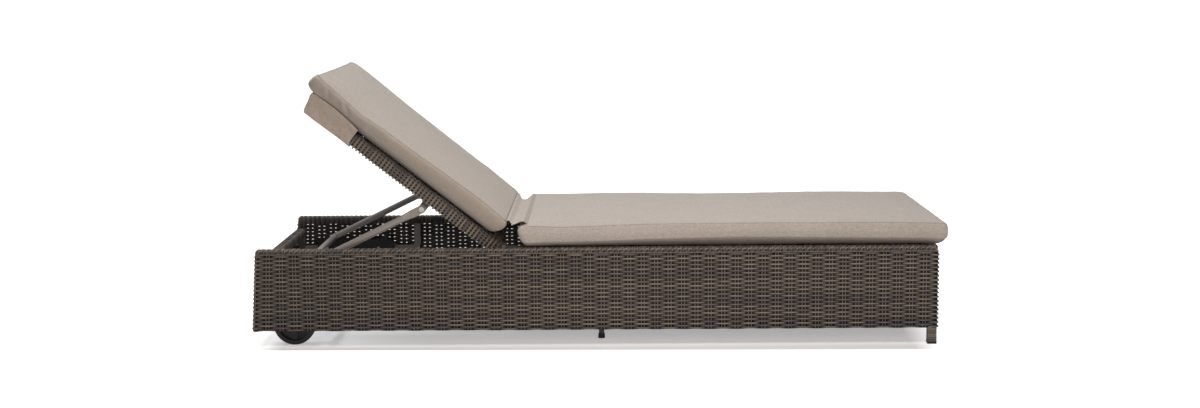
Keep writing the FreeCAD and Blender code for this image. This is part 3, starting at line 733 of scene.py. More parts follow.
def roundCorner(x, y, z):
    # the rim dips round the corner at each end
    size = rimWrap["endRound"]
    past = np.clip(np.maximum(headEnd + size - x, x - footEnd + size) / size, 0, 1)
    drop = size * (1 - np.sqrt(np.maximum(1 - past ** 2, 0)))
    drop = np.where(x > 0, rimWrap["footChamfer"] * size * past, drop)
    near = np.clip((z - (wallHigh.z - 24 * mm)) / (20 * mm), 0, 1)
    return x, y, z - drop * near * 0.85


def rimStart(end, height):
    return end, height - rimWrap["bend"] - rimWrap["outsideDrop"]


def makeSideRims():
    s = rimWrap
    legs, length, top = rimPath(sideOut - innerFace, s["insideDrop"])
    flatWraps = wrapStrip(length, headEnd + s["headGap"], footEnd - s["footGap"], top)
    flatTrims = rimTrims(*sideSpan, wallHigh.z)
    last = length - s["insideDrop"]
    deeper = 1 + s["postDrop"] / s["insideDrop"]
    for hand, name in ((1, "left"), (-1, "right")):
        wraps = copyPiece(flatWraps, "wraps")
        u, h, x = readPoints(wraps)
        onPost = x < headEnd + s["postDepth"]
        u = np.where(onPost & (u > last), last + (u - last) * deeper, u)
        y, z = bend(u, h, rimStart(sideOut, wallHigh.z), quarter, 1, legs)
        writePoints(wraps, *leanAtHead(*roundCorner(x, y * hand, z)))
        trims = [copyPiece(source, "trim") for source in flatTrims]
        for piece in trims:
            u, h, z = readPoints(piece)
            writePoints(piece, *leanAtHead(*roundCorner(*onSideWall(u, h, hand), z)))
        rim = joinPieces("rim_wrap_" + name, [wraps] + trims)
        finishPiece(rim, rattanY, "base", "wicker", "side_rim_" + name)
    for piece in (flatWraps, *flatTrims):
        bpy.data.objects.remove(piece)


def makeEndRims():
    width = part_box("head_rim")[1].x - headEnd
    legs, length, top = rimPath(width, headHigh.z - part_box("head_rim")[0].z - rimWrap["bend"])
    for name, end, height, inside, nodes in (("head", headEnd, headHigh.z, -1, ["head_rim"]),
                                             ("foot", footEnd, wallHigh.z, 1, [])):
        wraps = wrapStrip(length, -innerFace, innerFace, top)
        u, h, y = readPoints(wraps)
        x, z = bend(u, h, rimStart(end, height), quarter, inside, legs)
        writePoints(wraps, x, y, z)
        trims = rimTrims(*endSpans[name], height, 0)
        for piece in trims:
            u, h, z = readPoints(piece)
            writePoints(piece, *leanAtHead(*onEndWall(name, u, h), z))
        rim = joinPieces("rim_wrap_" + name, [wraps, *trims])
        finishPiece(rim, rattanX, "base", "wicker", *nodes)
    print("rims wound")


makeSideRims()
makeEndRims()

# Legs: strands wound round each leg under the skirt

legWrap = {"turns": 8, "sides": 6, "width": 6.0 * mm, "thick": 3.2 * mm, "bend": 5 * mm, "uneven": 0.5 * mm,
           "side": 28 * mm, "segments": 28, "unevenTurns": [0.0, 0.5, 0.1, 0.6, 0.2, 0.4, 0.0, 0.5]}


def makeLegWraps():
    s = legWrap
    high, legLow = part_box("leg_sleeves")[1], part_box("legs")[0]
    arc = s["bend"] * quarter
    straight = s["side"] - 2 * s["bend"]
    legs = [(straight / 2, 0)]
    for corner in range(4):
        legs += [(arc, quarter), (straight if corner < 3 else straight / 2, 0)]
    length = sum(leg[0] for leg in legs)
    pitch = (high.z - legLow.z) / s["turns"]
    ring = outline(s["sides"], "NOTHING", (1, s["thick"], s["width"]), (0, s["thick"] / 2, legLow.z + pitch / 2))
    extrudeMesh((length / s["segments"], 0, 0), s["segments"])
    closeMesh()
    repeat(ring, (0, 0, pitch), s["turns"])
    u, h, z = readPoints(ring)
    row = np.floor((z - legLow.z) / pitch).astype(int)
    writeValues(ring, "tone", toneDraw.beta(0.6, 0.8, s["turns"])[np.clip(row, 0, s["turns"] - 1)])
    # painted shade at the joins between the turns
    fromTurn = np.abs((z - legLow.z) / pitch - row - 0.5)
    writeValues(ring, "deep", part(fromTurn, 0.3, 0.2) * 0.9)
    h += np.array(s["unevenTurns"])[row % 8] * s["uneven"]
    x, y = bend(u, h, (high.x - s["side"] / 2, high.y - s["side"]), 0.0, 1, legs)
    made = []
    for hand in (1, -1):
        made.append(copyPiece(ring, "ring"))
        writePoints(made[-1], x, y * hand, z)
    bpy.data.objects.remove(ring)
    sleeve = joinPieces("leg_wraps", made)
    faceOutwards(sleeve, 0.05 * mm)
    finishPiece(sleeve, rattanX, "base", "wicker", "leg_sleeves")
    print("legs wrapped")


makeLegWraps()

# Deck under the seat cushion

deckWeave = {
    "columnPitch": 39.2 * mm, "rowPitch": 8.6 * mm, "width": 7.4 * mm, "crossingWidth": 8.8 * mm,
    "behindWidth": 9.0 * mm, "drop": 0.0, "thick": 1.8 * mm, "sides": 4, "segments": 8, "middle": 3.0 * mm,
    "swing": 2.0 * mm, "flatness": 1.2, "shadeFrom": 1.8 * mm, "shadeTo": 4.6 * mm, "stakeApart": 10 * mm,
    "stakeWidth": 4.0 * mm, "stakeThick": 2.6 * mm, "stakeTone": 0.25, "coreThick": 1.4 * mm,
    "coreWiden": -0.6 * mm, "underShade": 0.4, "uneven": 0.4 * mm,
    "sideGap": 1 * mm, "footGap": 29 * mm, "sunk": 0.4 * mm,
}


def makeDeck():
    s = deckWeave
    reach = innerFace - s["sideGap"]
    deck = wovenPanel("deck_weave", s, -reach, reach, deckLow.x, footEnd - s["footGap"], 2)
    y, h, x = readPoints(deck)
    writePoints(deck, x, y, deckHigh.z - h - s["sunk"])
    finishPiece(deck, rattanY, "base", "wicker", "seat_weave")
    print("deck woven")


makeDeck()

# Back: strands run across it, over the side rails and in under them, in a small check on the sides

backWeave = {
    "columnPitch": 39.0 * mm, "rowPitch": 6.3 * mm, "width": 5.3 * mm, "crossingWidth": 6.5 * mm,
    "behindWidth": 7.0 * mm, "drop": 0.0, "thick": 1.8 * mm, "sides": 6, "segments": 8, "middle": 2.7 * mm,
    "swing": 1.9 * mm, "flatness": 1.2, "shadeFrom": 1.8 * mm, "shadeTo": 4.2 * mm, "stakeApart": 9.4 * mm,
    "stakeWidth": 3.6 * mm, "stakeThick": 2.4 * mm, "stakeTone": 0.18, "coreThick": 1.3 * mm,
    "coreWiden": -0.6 * mm, "underShade": 0.5, "uneven": 0.4 * mm,
    "sideBend": 6 * mm, "start": 14 * mm, "end": 707 * mm, "easeFrom": 697 * mm, "pressed": 3.9 * mm,
    "tubes": [(14, 34), (284, 306), (495, 518), (686, 709)],
    "endHalf": 16 * mm, "endProud": 1.6 * mm, "endSlope": 0.25,
}
backCheck = {
    "rowPitch": 6.1 * mm, "width": 5.0 * mm, "crossingWidth": 5.0 * mm, "behindWidth": 5.0 * mm,
    "drop": 0.0, "thick": 1.8 * mm, "sides": 6, "segments": 6, "middle": 2.3 * mm, "swing": 1.6 * mm,
    "flatness": 1.1, "shadeFrom": 0.9 * mm, "shadeTo": 2.2 * mm, "stakeApart": 0.0, "stakeWidth": 3.2 * mm,
    "stakeThick": 1.8 * mm, "stakeTone": 0.22, "underShade": 0.6, "uneven": 0.3 * mm,
    "checks": 4, "underReach": 17 * mm, "stakeShade": 0.30, "sunkShade": 0.95, "cushionShade": 0.78,
    "tooth": 3.0 * mm, "toothLeast": 2.8 * mm, "toothReach": 0.6, "raised": (0.7, 0.3), "sunk": 0.75,
}


def fromBackEased(across, s, n):
    # the skins draw in a little where they end under the pocket
    past = np.clip((s - backWeave["easeFrom"]) / (backWeave["end"] - backWeave["easeFrom"]), 0, 1)
    return fromBack(across, s, n * (1 - 0.6 * past ** 2))


def makeBackTop(s, reach):
    panel = wovenPanel("back_weave_top", s, -reach, reach, s["start"], s["end"], 2)
    y, h, along = readPoints(panel)
    pressed = np.abs(y) > backTubeIn
    for low, high in s["tubes"]:
        pressed |= (along > low * mm) & (along < high * mm)
    h = np.where(pressed, np.minimum(h, s["pressed"]), h)
    writePoints(panel, *fromBackEased(y, along, backSkin - h))
    finishPiece(panel, rattanY, "backrest", "wicker", "back_top_weave")


def checkRelief(flat, s, c):
    # even rows stand proud as teeth along the lower corner, odd rows and stakes lie behind them, with painted shade
    # on them
    u, h, along = readPoints(flat)
    isStake = np.abs(readValues(flat, "tone") - c["stakeTone"]) < 1e-5
    rows = 2 * int((s["end"] - s["start"]) / c["rowPitch"] / 2 + 0.5)
    over = np.floor((along - s["start"]) / (s["end"] - s["start"]) * rows) % 2 == 0
    wave = np.clip(c["flatness"] * np.cos(math.pi * u / c["columnPitch"]), -1, 1)
    was = np.where(over, -wave, wave)
    now = np.where(over, -c["raised"][0] - c["raised"][1] * np.abs(wave), c["sunk"])
    h += np.where(isStake, 0, (now - was) * c["swing"])
    # painted shade: the sunk rows dark and the stakes a little darker
    writeValues(flat, "deep", np.where(isStake, c["stakeShade"], ~over * c["sunkShade"]))
    fromCorner = np.abs(u - c["checks"] * c["columnPitch"]) / c["columnPitch"]
    tooth = c["toothLeast"] + c["tooth"] * (over & ~isStake)
    h -= tooth * np.cos(np.clip(fromCorner, 0, c["toothReach"]) / c["toothReach"] * math.pi / 2)
    writePoints(flat, u, h, along)


def makeBackSides(s, c, reach):
    arc = s["sideBend"] * quarter
    face = 2 * (backSkin - s["sideBend"])
    legs = [(arc, quarter), (face, 0), (arc, quarter), (c["underReach"], 0)]
    c["columnPitch"] = (arc + face) / c["checks"]
    length = 2 * arc + face + c["underReach"]
    flat = wovenPanel("flat_check", c, -arc / 2, length - arc / 2, s["start"], s["end"], 2)
    checkRelief(flat, s, c)
    for hand, name in ((1, "left"), (-1, "right")):
        side = copyPiece(flat, "back_weave_" + name)
        u, h, along = readPoints(side)
        y, n = bend(u + arc / 2, h, (reach, backSkin), 0.0, -1, legs)
        # painted shade on the upper part of the check, under the overhang of the cushion
        cushionShade = part(n, 4 * mm, 18 * mm) * c["cushionShade"]
        writeValues(side, "deep", np.maximum(readValues(side, "deep"), cushionShade))
        writePoints(side, *fromBackEased(y * hand, along, n))
        finishPiece(side, rattanZ, "backrest", "wicker", "back_side_weave_" + name)
    bpy.data.objects.remove(flat)


def makeBackEnd(s, reach):
    end = wovenPanel("back_weave_head", s, -reach, reach, -s["endHalf"], s["endHalf"], 1)
    y, h, n = readPoints(end)
    writePoints(end, *fromBack(y, s["end"] + s["endProud"] + n * s["endSlope"] - h * s["endSlope"], n))
    finishPiece(end, rattanY, "backrest", "wicker", "back_head_weave")
    print("back woven")


backReach = backHalf - backWeave["sideBend"]
makeBackTop(backWeave, backReach)
makeBackSides(backWeave, backCheck, backReach)
makeBackEnd(backWeave, backReach)

# Cushions: a boxed cover, blown up by cloth pressure, eased to its outline, then seamed and puckered.
# Measures in mm: along the cushion, across it and up; lines of (place, height) for the near and far side

seatCushion = {
    "length": (789, 2012), "halfWidth": 337, "low": 307, "high": 356, "cells": (118, 66), "sideRows": 8,
    "corners": ((17, 22), (9, 30)), "pressure": 4.0, "cap": 13, "crown": 3.5, "rest": 291.8, "ease": 120,
    "edgeRound": 46, "underRound": 26, "pucker": 1.0, "ripple": 1.2, "skew": -7, "flank": 0.0,
    "lowEnd": [(307, 787), (314, 781), (339, 771), (349, 777), (356, 789)],
    "highEnd": [(307, 2021), (312, 2026), (322, 2027), (338, 2026.5), (347, 2026), (356, 2022)],
    "side": [(307, 338), (331, 345), (348, 341), (356, 337)],
    "seams": ([(789, 359), (806, 356.5), (899, 351), (1077, 357), (1212, 360), (1500, 361), (1844, 359.6),
               (2012, 357.5)],
              [(789, 360), (1000, 362), (1141, 362), (1340, 359), (1690, 362.5), (2012, 360)]),
    "tops": ([(789, 361), (899, 360), (1077, 363), (1500, 364), (1690, 365), (2012, 361)],
             [(789, 364), (900, 367), (1009, 369.5), (1141, 369), (1340, 365), (1499, 366), (1691, 370),
              (1836, 367.5), (2012, 365)]),
    "hems": ([(789, 303), (931, 304), (1180, 312), (1422, 317), (1684, 313.5), (1976, 309)],
             [(789, 304), (1200, 308), (1600, 311), (2012, 307)]),
    "folds": [(838, 0.7, 11, 1.2), (1110, -0.5, 16, 0.7), (1592, 0.4, 10, 1.4), (1668, -0.6, 9, 1.2)],
}
backCushion = {
    "length": (44, 732), "halfWidth": 337, "low": 36, "high": 86, "cells": (70, 66), "sideRows": 8,
    "corners": ((24, 18), (23, 31)), "pressure": 4.0, "cap": 13, "crown": 2.5, "rest": 22.5, "ease": 110,
    "edgeRound": 44, "underRound": 44, "pucker": 1.0, "ripple": 1.3, "skew": 4, "flank": 1.0,
    "lowEnd": [(36, 48), (53, 39), (68, 36.5), (80, 39), (86, 44)],
    "highEnd": [(36, 716), (41, 728), (46, 738), (51, 740.5), (59, 740.5), (69, 738), (79, 735), (86, 730)],
    "side": [(36, 326), (42, 332), (50, 337.5), (68, 345), (79, 344.5), (86, 339)],
    "seams": ([(44, 84), (64, 87), (115, 89.5), (184, 90), (395, 83.5), (492, 82), (529, 78.5), (566, 76),
               (626, 82), (704, 88.5), (735, 94)],
              [(44, 82), (159, 87), (251, 86), (499, 89), (582, 92), (676, 95), (735, 93)]),
    "tops": ([(44, 87), (115, 92), (184, 93), (395, 88), (492, 87), (566, 86), (626, 90), (704, 94), (735, 98)],
             [(44, 86), (64, 85), (159, 88.5), (251, 89.5), (499, 97), (582, 100), (676, 101), (735, 99)]),
    "hems": ([(44, 40), (59, 38), (81, 35.5), (137, 35.5), (447, 40), (546, 40.5), (629, 45), (690, 43),
              (735, 38)],
             [(44, 38), (81, 33), (447, 35), (629, 41), (735, 46)]),
    "folds": [(604, 0.9, 9, 4.0), (640, -0.5, 8, 3.4), (672, 0.6, 7, 3.0), (578, 0.2, 6, 2.6),
              (520, 0.5, 9, 1.6), (560, -0.4, 8, 1.4), (405, -0.3, 12, 1.2), (84, -0.9, 9, 1.6)],
}
planPull, wallPull = 0.66, 0.45


def denser(t, pull):
    # moves even steps closer together at both ends
    return t - pull * np.sin(2 * math.pi * t) / (2 * math.pi)


def boxedCover(name, s):
    # two grids with their borders bridged, which gives faces in the same order each run, as the cloth needs
    bpy.ops.mesh.primitive_grid_add(x_subdivisions=s["cells"][0], y_subdivisions=s["cells"][1], size=1,
                                    location=(0.5, 0.5, 1))
    piece = applyPlace()
    piece.name = name
    piece.data.name = name
    repeat(piece, (0, 0, -1), 2)
    openMesh(piece)
    selectAll("DESELECT")
    bpy.ops.mesh.select_non_manifold()
    bpy.ops.mesh.bridge_edge_loops(number_cuts=s["sideRows"] - 1, interpolation="LINEAR")
    closeMesh()
    faceOutwards(piece)
    unit = readPoints(piece)
    edge = ((unit[:2] < 1e-4) | (unit[:2] > 1 - 1e-4)).any(axis=0)
    writeValues(piece, "seam", edge & (unit[2] > 1 - 1e-4))
    writeValues(piece, "hem", edge & (unit[2] < 1e-4))
    x0, x1 = s["length"]
    half = s["halfWidth"]
    x = x0 + (x1 - x0) * denser(unit[0], planPull)
    y = -half + 2 * half * denser(unit[1], planPull)
    z = s["low"] + (s["high"] - s["low"]) * denser(unit[2], wallPull)
    # the four corners are rounded in plan
    middle = (x0 + x1) / 2
    lowEnd, highEnd = (np.where(y > 0, far, near) for near, far in s["corners"])
    r = np.where(x > middle, highEnd, lowEnd)
    inX = np.maximum(np.maximum(x0 + r - x, x - (x1 - r)), 0) / r
    inY = np.maximum(np.abs(y) - (half - r), 0) / r
    both = (inX > 0) & (inY > 0)
    newX = inX * np.sqrt(1 - inY ** 2 / 2)
    newY = inY * np.sqrt(1 - inX ** 2 / 2)
    x = np.where(both, np.where(x > middle, x1 - r + r * newX, x0 + r - r * newX), x)
    y = np.where(both, np.sign(y) * (half - r + r * newY), y)
    writePoints(piece, x * mm, y * mm, z * mm)
    return piece, unit


def inflate(piece, s):
    # cloth pressure swells the cover; no point may move further than the cap
    before = readPoints(piece)
    cloth = piece.modifiers.new("Cloth", "CLOTH")
    for key, value in {"quality": 5, "mass": 0.3, "tension_stiffness": 12, "compression_stiffness": 12,
                       "shear_stiffness": 6, "bending_stiffness": 0.6, "use_pressure": True,
                       "uniform_pressure_force": s["pressure"]}.items():
        setattr(cloth.settings, key, value)
    cloth.settings.effector_weights.gravity = 0
    cloth.collision_settings.use_collision = False
    cloth.point_cache.frame_start = 1
    cloth.point_cache.frame_end = 20
    for step in range(1, 21):
        bpy.context.scene.frame_set(step)
    choose(piece)
    bpy.ops.object.modifier_apply(modifier=cloth.name)
    bpy.context.scene.frame_set(1)
    moved = readPoints(piece) - before
    size = np.linalg.norm(moved, axis=0)
    limit = s["cap"] * mm
    eased = limit * np.tanh(size / limit)
    writePoints(piece, *(before + moved * (eased / np.maximum(size, 1e-9))))
    return np.abs(moved[2]) / np.maximum(size, 1e-9) * eased / limit


def softNoise(points, scale, seed, stretch=(1, 1, 1)):
    places = zip(*(row * k for row, k in zip(points, stretch)))
    return np.array([noise.noise(Vector(p) * scale + Vector((seed, 0, 0))) for p in places])


def lineAcross(s, key, place, share):
    # a height from the near and far lines, blended across the cushion
    near, far = (np.interp(place, *np.array(line, float).T) for line in s[key])
    return near * (1 - share) + far * share


def easeToOutline(piece, s, unit, swell):
    # each level of the walls goes to its measured place, and the panels rise and fall from the seams
    points = readPoints(piece) / mm
    level = unit[2]
    plan = denser(unit[:2], planPull)
    levels = np.unique(np.round(level, 4))
    heights = s["low"] + (s["high"] - s["low"]) * denser(levels, wallPull)
    spans = (s["length"][1] - s["length"][0], 2 * s["halfWidth"])
    inside = np.full(len(level), 1e3)
    walls = ((0, 0, "lowEnd", 1), (0, 1, "highEnd", 1), (1, 0, "side", -1), (1, 1, "side", 1))
    for axis, end, profile, sign in walls:
        middle = (np.abs(unit[axis] - end) < 1e-4) & (np.abs(unit[1 - axis] - 0.5) < 0.3)
        now = np.array([points[axis, middle & (np.abs(level - one) < 1e-3)].mean() for one in levels])
        wanted = sign * np.interp(heights, *np.array(s[profile], float).T)
        away = np.abs(plan[axis] - end) * spans[axis]
        inside = np.minimum(inside, away)
        fade = np.clip(1 - away / s["ease"], 0, 1) ** 2
        points[axis] += np.interp(level, levels, wanted - now) * fade
    x, y, z = points
    t, share = plan
    x += s["skew"] * share * np.clip((x - s["length"][1] + 130) / 130, 0, 1)
    seam, top, hem = (lineAcross(s, key, x, share) for key in ("seams", "tops", "hems"))
    dome = s["crown"] * (1 - np.abs(2 * share - 1) ** 3) * (1 - np.abs(2 * t - 1) ** 8)
    rounded, underLift = (1 - (1 - np.clip(inside / s[key], 0, 1)) ** 2.4 for key in ("edgeRound", "underRound"))
    lift = rounded if swell is None else 0.55 * rounded + 0.45 * np.clip(swell * 1.1, 0, 1)
    z = hem + (seam - hem) * denser(level, wallPull)
    z = np.where(level > 1 - 1e-4, seam + (top - seam + dome) * lift, z)
    z = np.where(level < 1e-4, hem + (s["rest"] - hem) * underLift, z)
    writePoints(piece, x * mm, y * mm, z * mm)


def dressCover(piece, s):
    # seam lines pulled in, puckers along them, folds in the walls and slow ripples on the panels
    applyModifier(piece, "SUBSURF", levels=1, render_levels=1)
    points, normals = readPoints(piece), readPoints(piece, "normal")
    seam, hem = readValues(piece, "seam"), readValues(piece, "hem")
    x, y, height = points / mm
    share = np.clip(y / s["halfWidth"] / 2 + 0.5, 0, 1)
    seamLine, hemLine = lineAcross(s, "seams", x, share), lineAcross(s, "hems", x, share)
    border = 26
    edge = np.abs(y) - s["halfWidth"] + border
    ends = np.maximum(s["length"][0] + border - x, x - s["length"][1] + border)
    nearEdge = np.clip(np.maximum(edge, ends) / border, 0, 1)
    nearTop = np.exp(-((height - seamLine) / 14) ** 2)
    flatter = (1, 1, 0.25)
    pucker = softNoise(points, 34, 3.1, flatter) * 0.7 + softNoise(points, 78, 9.4, flatter) * 0.5
    ripple = softNoise(points, 7.5, 5.2) + 0.5 * softNoise(points, 16, 1.7)
    move = pucker * nearTop * nearEdge * s["pucker"] + ripple * s["ripple"] * (1 - 0.6 * nearEdge)
    wall = np.clip((height - hemLine) / 12, 0, 1) * np.clip((seamLine - height) / 12, 0, 1)
    wall *= np.clip(np.abs(normals[1]) * 2 - 1, 0, 1)
    for place, slope, size, depth in s["folds"]:
        off = (x - place) - slope * (height - (s["low"] + s["high"]) / 2)
        move -= depth * wall * (np.exp(-(off / size) ** 2) - 0.6 * np.exp(-((off - 1.7 * size) / size) ** 2))
    move -= seam * 1.5 + hem * 1.3
    points += normals * (move * mm)
    rest = s["rest"] * mm
    points[2] = np.where(points[2] < rest, rest + (points[2] - rest) * 0.02, points[2])
    writePoints(piece, *points)
    # painted shade under the lower edge of the cover, carried in the seam value together with the seam and hem lines
    underEdgeShade = np.clip((hemLine - height - 1) / 5, 0, 1) * 1.4
    writeValues(piece, "seam", np.clip(seam * 1.15, 0, 1) + hem * 0.8 + underEdgeShade)
    # the side walls marked for their painted shade
    writeValues(piece, "flank", wall * s["flank"])
    piece.data.attributes.remove(piece.data.attributes["hem"])


def makeCushion(name, s, carry, look, body):
    piece, unit = boxedCover(name + "_cover", s)
    swell = inflate(piece, s)
    easeToOutline(piece, s, unit, swell)
    dressCover(piece, s)
    writePoints(piece, *carry(*readPoints(piece)))
    finishPiece(piece, look, body, "cushion_fabric", name)
    print(name.replace("_", " "), "filled")


makeCushion("seat_cushion", seatCushion, lambda x, y, z: (x + headEnd, y, z), cushionLook, "base")
makeCushion("back_cushion", backCushion, lambda x, y, z: fromBack(y, x, z), backCushionLook, "backrest")

# Pocket over the head end of the back, with its measures in mm

pocket = {
    "length": (545.3, 714.6), "halfWidth": 320.6, "half": 22.6, "bend": 4, "cloth": 1.5,
    "cutsAlong": 14, "cuts": 40, "levels": (-12, -6, 0, 6, 12),
    "hemWidth": 16, "hemProud": 0.9, "crease": 2.2, "most": 1.4, "widen": 9.0, "bag": 0.5, "lip": 7.0,
    "corner": (716, 26), "cornerCrease": 2.6, "cornerReach": 38,
    "topLine": [(545, 31), (575, 37), (629, 42), (704, 42), (716, 35)],
    "headLine": [(-24, 701), (-22, 703), (0, 710), (17, 713.5), (27, 717), (40, 716)],
}


def cutMesh(place, direction):
    selectAll()
    bpy.ops.mesh.bisect(plane_co=place, plane_no=direction)


def pocketBox(s):
    # a box without its mouth, rounded at its edges and cut fine enough to crease
    x0, x1 = s["length"]
    half = s["halfWidth"]
    middle = ((x0 + x1) / 2 * mm, 0, 0)
    bpy.ops.mesh.primitive_cube_add(size=1, location=middle)
    piece = bpy.context.object
    piece.name = "cushion_pocket"
    openMesh(piece)
    resizeMesh(((x1 - x0) * mm, 2 * half * mm, 2 * s["half"] * mm), middle)
    closeMesh()
    applyPlace()
    openMesh(piece)
    selectAll("DESELECT")
    bpy.ops.mesh.select_mode(type="FACE")
    closeMesh()
    for face in piece.data.polygons:
        face.select = face.normal.x < -0.9
    bpy.ops.object.mode_set(mode="EDIT")
    bpy.ops.mesh.delete(type="FACE")
    bpy.ops.mesh.select_mode(type="EDGE")
    closeMesh()
    mouth = x0 * mm + 1e-5
    for edge in piece.data.edges:
        edge.select = any(piece.data.vertices[i].co.x >= mouth for i in edge.vertices)
    bpy.ops.object.mode_set(mode="EDIT")
    bpy.ops.mesh.bevel(offset=s["bend"] * mm, segments=3, affect="EDGES")
    selectAll()
    bpy.ops.mesh.select_mode(type="FACE")
    bpy.ops.mesh.subdivide(number_cuts=1)
    for cut in range(1, s["cutsAlong"]):
        cutMesh(((x0 + (x1 - x0) * cut / s["cutsAlong"]) * mm, 0, 0), (1, 0, 0))
    for cut in range(1, s["cuts"]):
        cutMesh((0, (-half + 2 * half * cut / s["cuts"]) * mm, 0), (0, 1, 0))
    for level in s["levels"]:
        cutMesh((0, 0, level * mm), (0, 0, 1))
    closeMesh()
    faceOutwards(piece, 0.05 * mm)
    bpy.context.tool_settings.mesh_select_mode = (True, False, False)
    return piece


def makePocket():
    s = pocket
    x0, x1 = s["length"]
    piece = pocketBox(s)
    points, normals = readPoints(piece), readPoints(piece, "normal")
    along, n = points[0] / mm, points[2] / mm
    # hem, creases and the folds that run from the upper corner
    hem = np.clip((x0 + s["hemWidth"] - along) / 1.5, 0, 1)
    folds = softNoise(points, 22, 7.7, (1, 0.6, 1.6))
    corner = part(along, 600, 110) * part(n, -20, 40) * 1.5
    diagonal = np.sin(along * 0.11 + n * 0.22) * corner
    move = hem * s["hemProud"] + (folds * 0.7 + diagonal * 0.6) * s["crease"] * (1 - hem)
    cornerX, cornerN = s["corner"]
    away = np.hypot(along - cornerX, n - cornerN)
    turned = np.arctan2(cornerN - n, cornerX - along)
    move += np.sin(turned * 8 + 0.6) * np.exp(-away / s["cornerReach"]) * s["cornerCrease"] * (1 - hem)
    side = np.abs(normals[1]) + np.clip(-normals[2], 0, 1) + np.clip(normals[0], 0, 1)
    x, y, z = points + normals * (np.clip(side, 0, 1) * np.minimum(move, s["most"]) * mm)
    # its upper edge rises to the hem of the cushion, and its end leans back
    top = part(n, 4, 18)
    nearSide = part(np.abs(y) / mm, 250, 62) ** 1.6
    nearEnd = part(along, 668, 44) ** 1.6
    z += np.maximum(nearSide, nearEnd) * top * (np.interp(along, *np.array(s["topLine"], float).T) - s["half"]) * mm
    y += np.sign(y) * top * nearSide ** 3 * s["widen"] * mm
    low = np.clip((-8 - n) / 14, 0, 1) * part(np.abs(y) / mm, 200, 110)
    z -= s["bag"] * mm * low * part(along, 575, 90)
    x -= s["lip"] * mm * low ** 2 * np.clip((575 - along) / 30, 0, 1)
    x += part(along, 640, 74) * (np.interp(z / mm, *np.array(s["headLine"], float).T) - x1) * mm
    writeValues(piece, "seam", np.clip(1 - np.abs(along - x0 - s["hemWidth"]) / 1.5, 0, 1) * 0.8)
    writePoints(piece, *fromBack(y, x, z))
    applyModifier(piece, "SUBSURF", levels=1, render_levels=1)
    applyModifier(piece, "SOLIDIFY", thickness=s["cloth"] * mm, offset=0.0)
    finishPiece(piece, hoodLook, "backrest", "cover_cloth", "cushion_hood")
    girth = 2 * (2 * s["halfWidth"] + 2 * s["half"]) * mm
    long = (x1 - x0) * mm
    cap = 4 * s["halfWidth"] * s["half"] * mm * mm
    long + 2 * s["half"] * mm
    girth * long + cap
    print("pocket sewn")


makePocket()

# Sewn strip between the cushions, with its measures in mm from the head end

web = {
    "halfWidth": 331, "cloth": 1.4, "cuts": 60, "seamRows": (1.5, 2.6, 9.0), "toMiddle": 1010,
    "near": [(738.5, 366.0), (742.5, 371.5), (747.5, 371.5), (752.0, 364.0), (757.5, 357.5), (764.0, 359.5),
             (772.0, 363.5), (780.0, 367.0), (787.0, 368.5), (793.0, 366.5), (800.0, 359.5)],
    "far": [(737.0, 364.0), (741.0, 365.5), (744.5, 357.5), (747.5, 348.5), (752.0, 344.0), (760.0, 343.0),
            (768.0, 345.0), (776.0, 352.0), (784.0, 360.0), (792.0, 363.5), (800.0, 360.0)],
}


def makeWeb():
    s = web
    steps = len(s["near"]) - 1
    bpy.ops.mesh.primitive_grid_add(x_subdivisions=steps, y_subdivisions=s["cuts"], size=1, location=(0.5, 0, 0))
    piece = applyPlace()
    piece.name = "cushion_strip"
    x, y, z = readPoints(piece)
    place = x * steps
    nearShare = (1 - (y + 0.5)) ** 0.7
    near, far = (np.array([np.interp(place, range(steps + 1), column) for column in zip(*line)])
                 for line in (s["near"], s["far"]))
    x, z = near * nearShare + far * (1 - nearShare)
    y = y * 2 * s["halfWidth"]
    free = np.sin(np.pi * np.clip((place - 1) / (steps - 3), 0, 1))
    inMetres = (mm, mm, mm)
    folds = softNoise((x * 1.6, y * 0.55, z * 0.3), 30, 2.2, inMetres)
    z = z + (folds * 3.2 + softNoise((x, y, z), 12, 6.6, inMetres) * 2.5) * free
    x = x + softNoise((x, y, z), 18, 4.1, inMetres) * 2.0 * free
    seams = [np.clip(1 - np.abs(place - row) / 0.32, 0, 1) for row in s["seamRows"]]
    writeValues(piece, "seam", np.max(seams, axis=0) * 0.8)
    writePoints(piece, (x - s["toMiddle"]) * mm, y * mm, z * mm)
    applyModifier(piece, "SUBSURF", levels=2, render_levels=2)
    applyModifier(piece, "SOLIDIFY", thickness=s["cloth"] * mm, offset=0.0)
    finishPiece(piece, cushionLook, None, "cover_cloth", "cushion_web")
    middle = (np.array(s["near"]) + np.array(s["far"])) / 2
    length = float(np.linalg.norm(np.diff(middle, axis=0), axis=1).sum())
    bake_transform(piece)
    print("strip between the cushions hung")


makeWeb()

# CAD pieces that keep their shape get their finishes

slotLooks = {"frame_aluminium": frameLook, "powder_coated_tube": tubeLook, "wicker": rattanY,
             "black_plastic": blackLook, "zinc_steel": zincLook, "cushion_fabric": cushionLook,
             "cover_cloth": coverLook}


def finishFrameNodes():
    slots = {part["node"]: part["material_slot"] for part in frame["record"]["subparts"]}
    for name, node in frame["nodes"].items():
        look = slotLooks[slots[name]]
        if not node.material_slots:
            node.data.materials.append(look)
        for slot in node.material_slots:
            slot.material = look
    print("frame finished")


finishFrameNodes()

# Floor, light and camera

floor = {
    "size": 200, "colour": 0.90, "glow": 0.38, "farGlow": 1.0, "stretch": (0.1, 1, 1), "turn": (0, 0, 0.02),
    "under": (0.0925, 0.404, 0.0), "fade": (0.0, 0.012), "front": (-0.385, -0.345), "frontShade": 0.2,
}


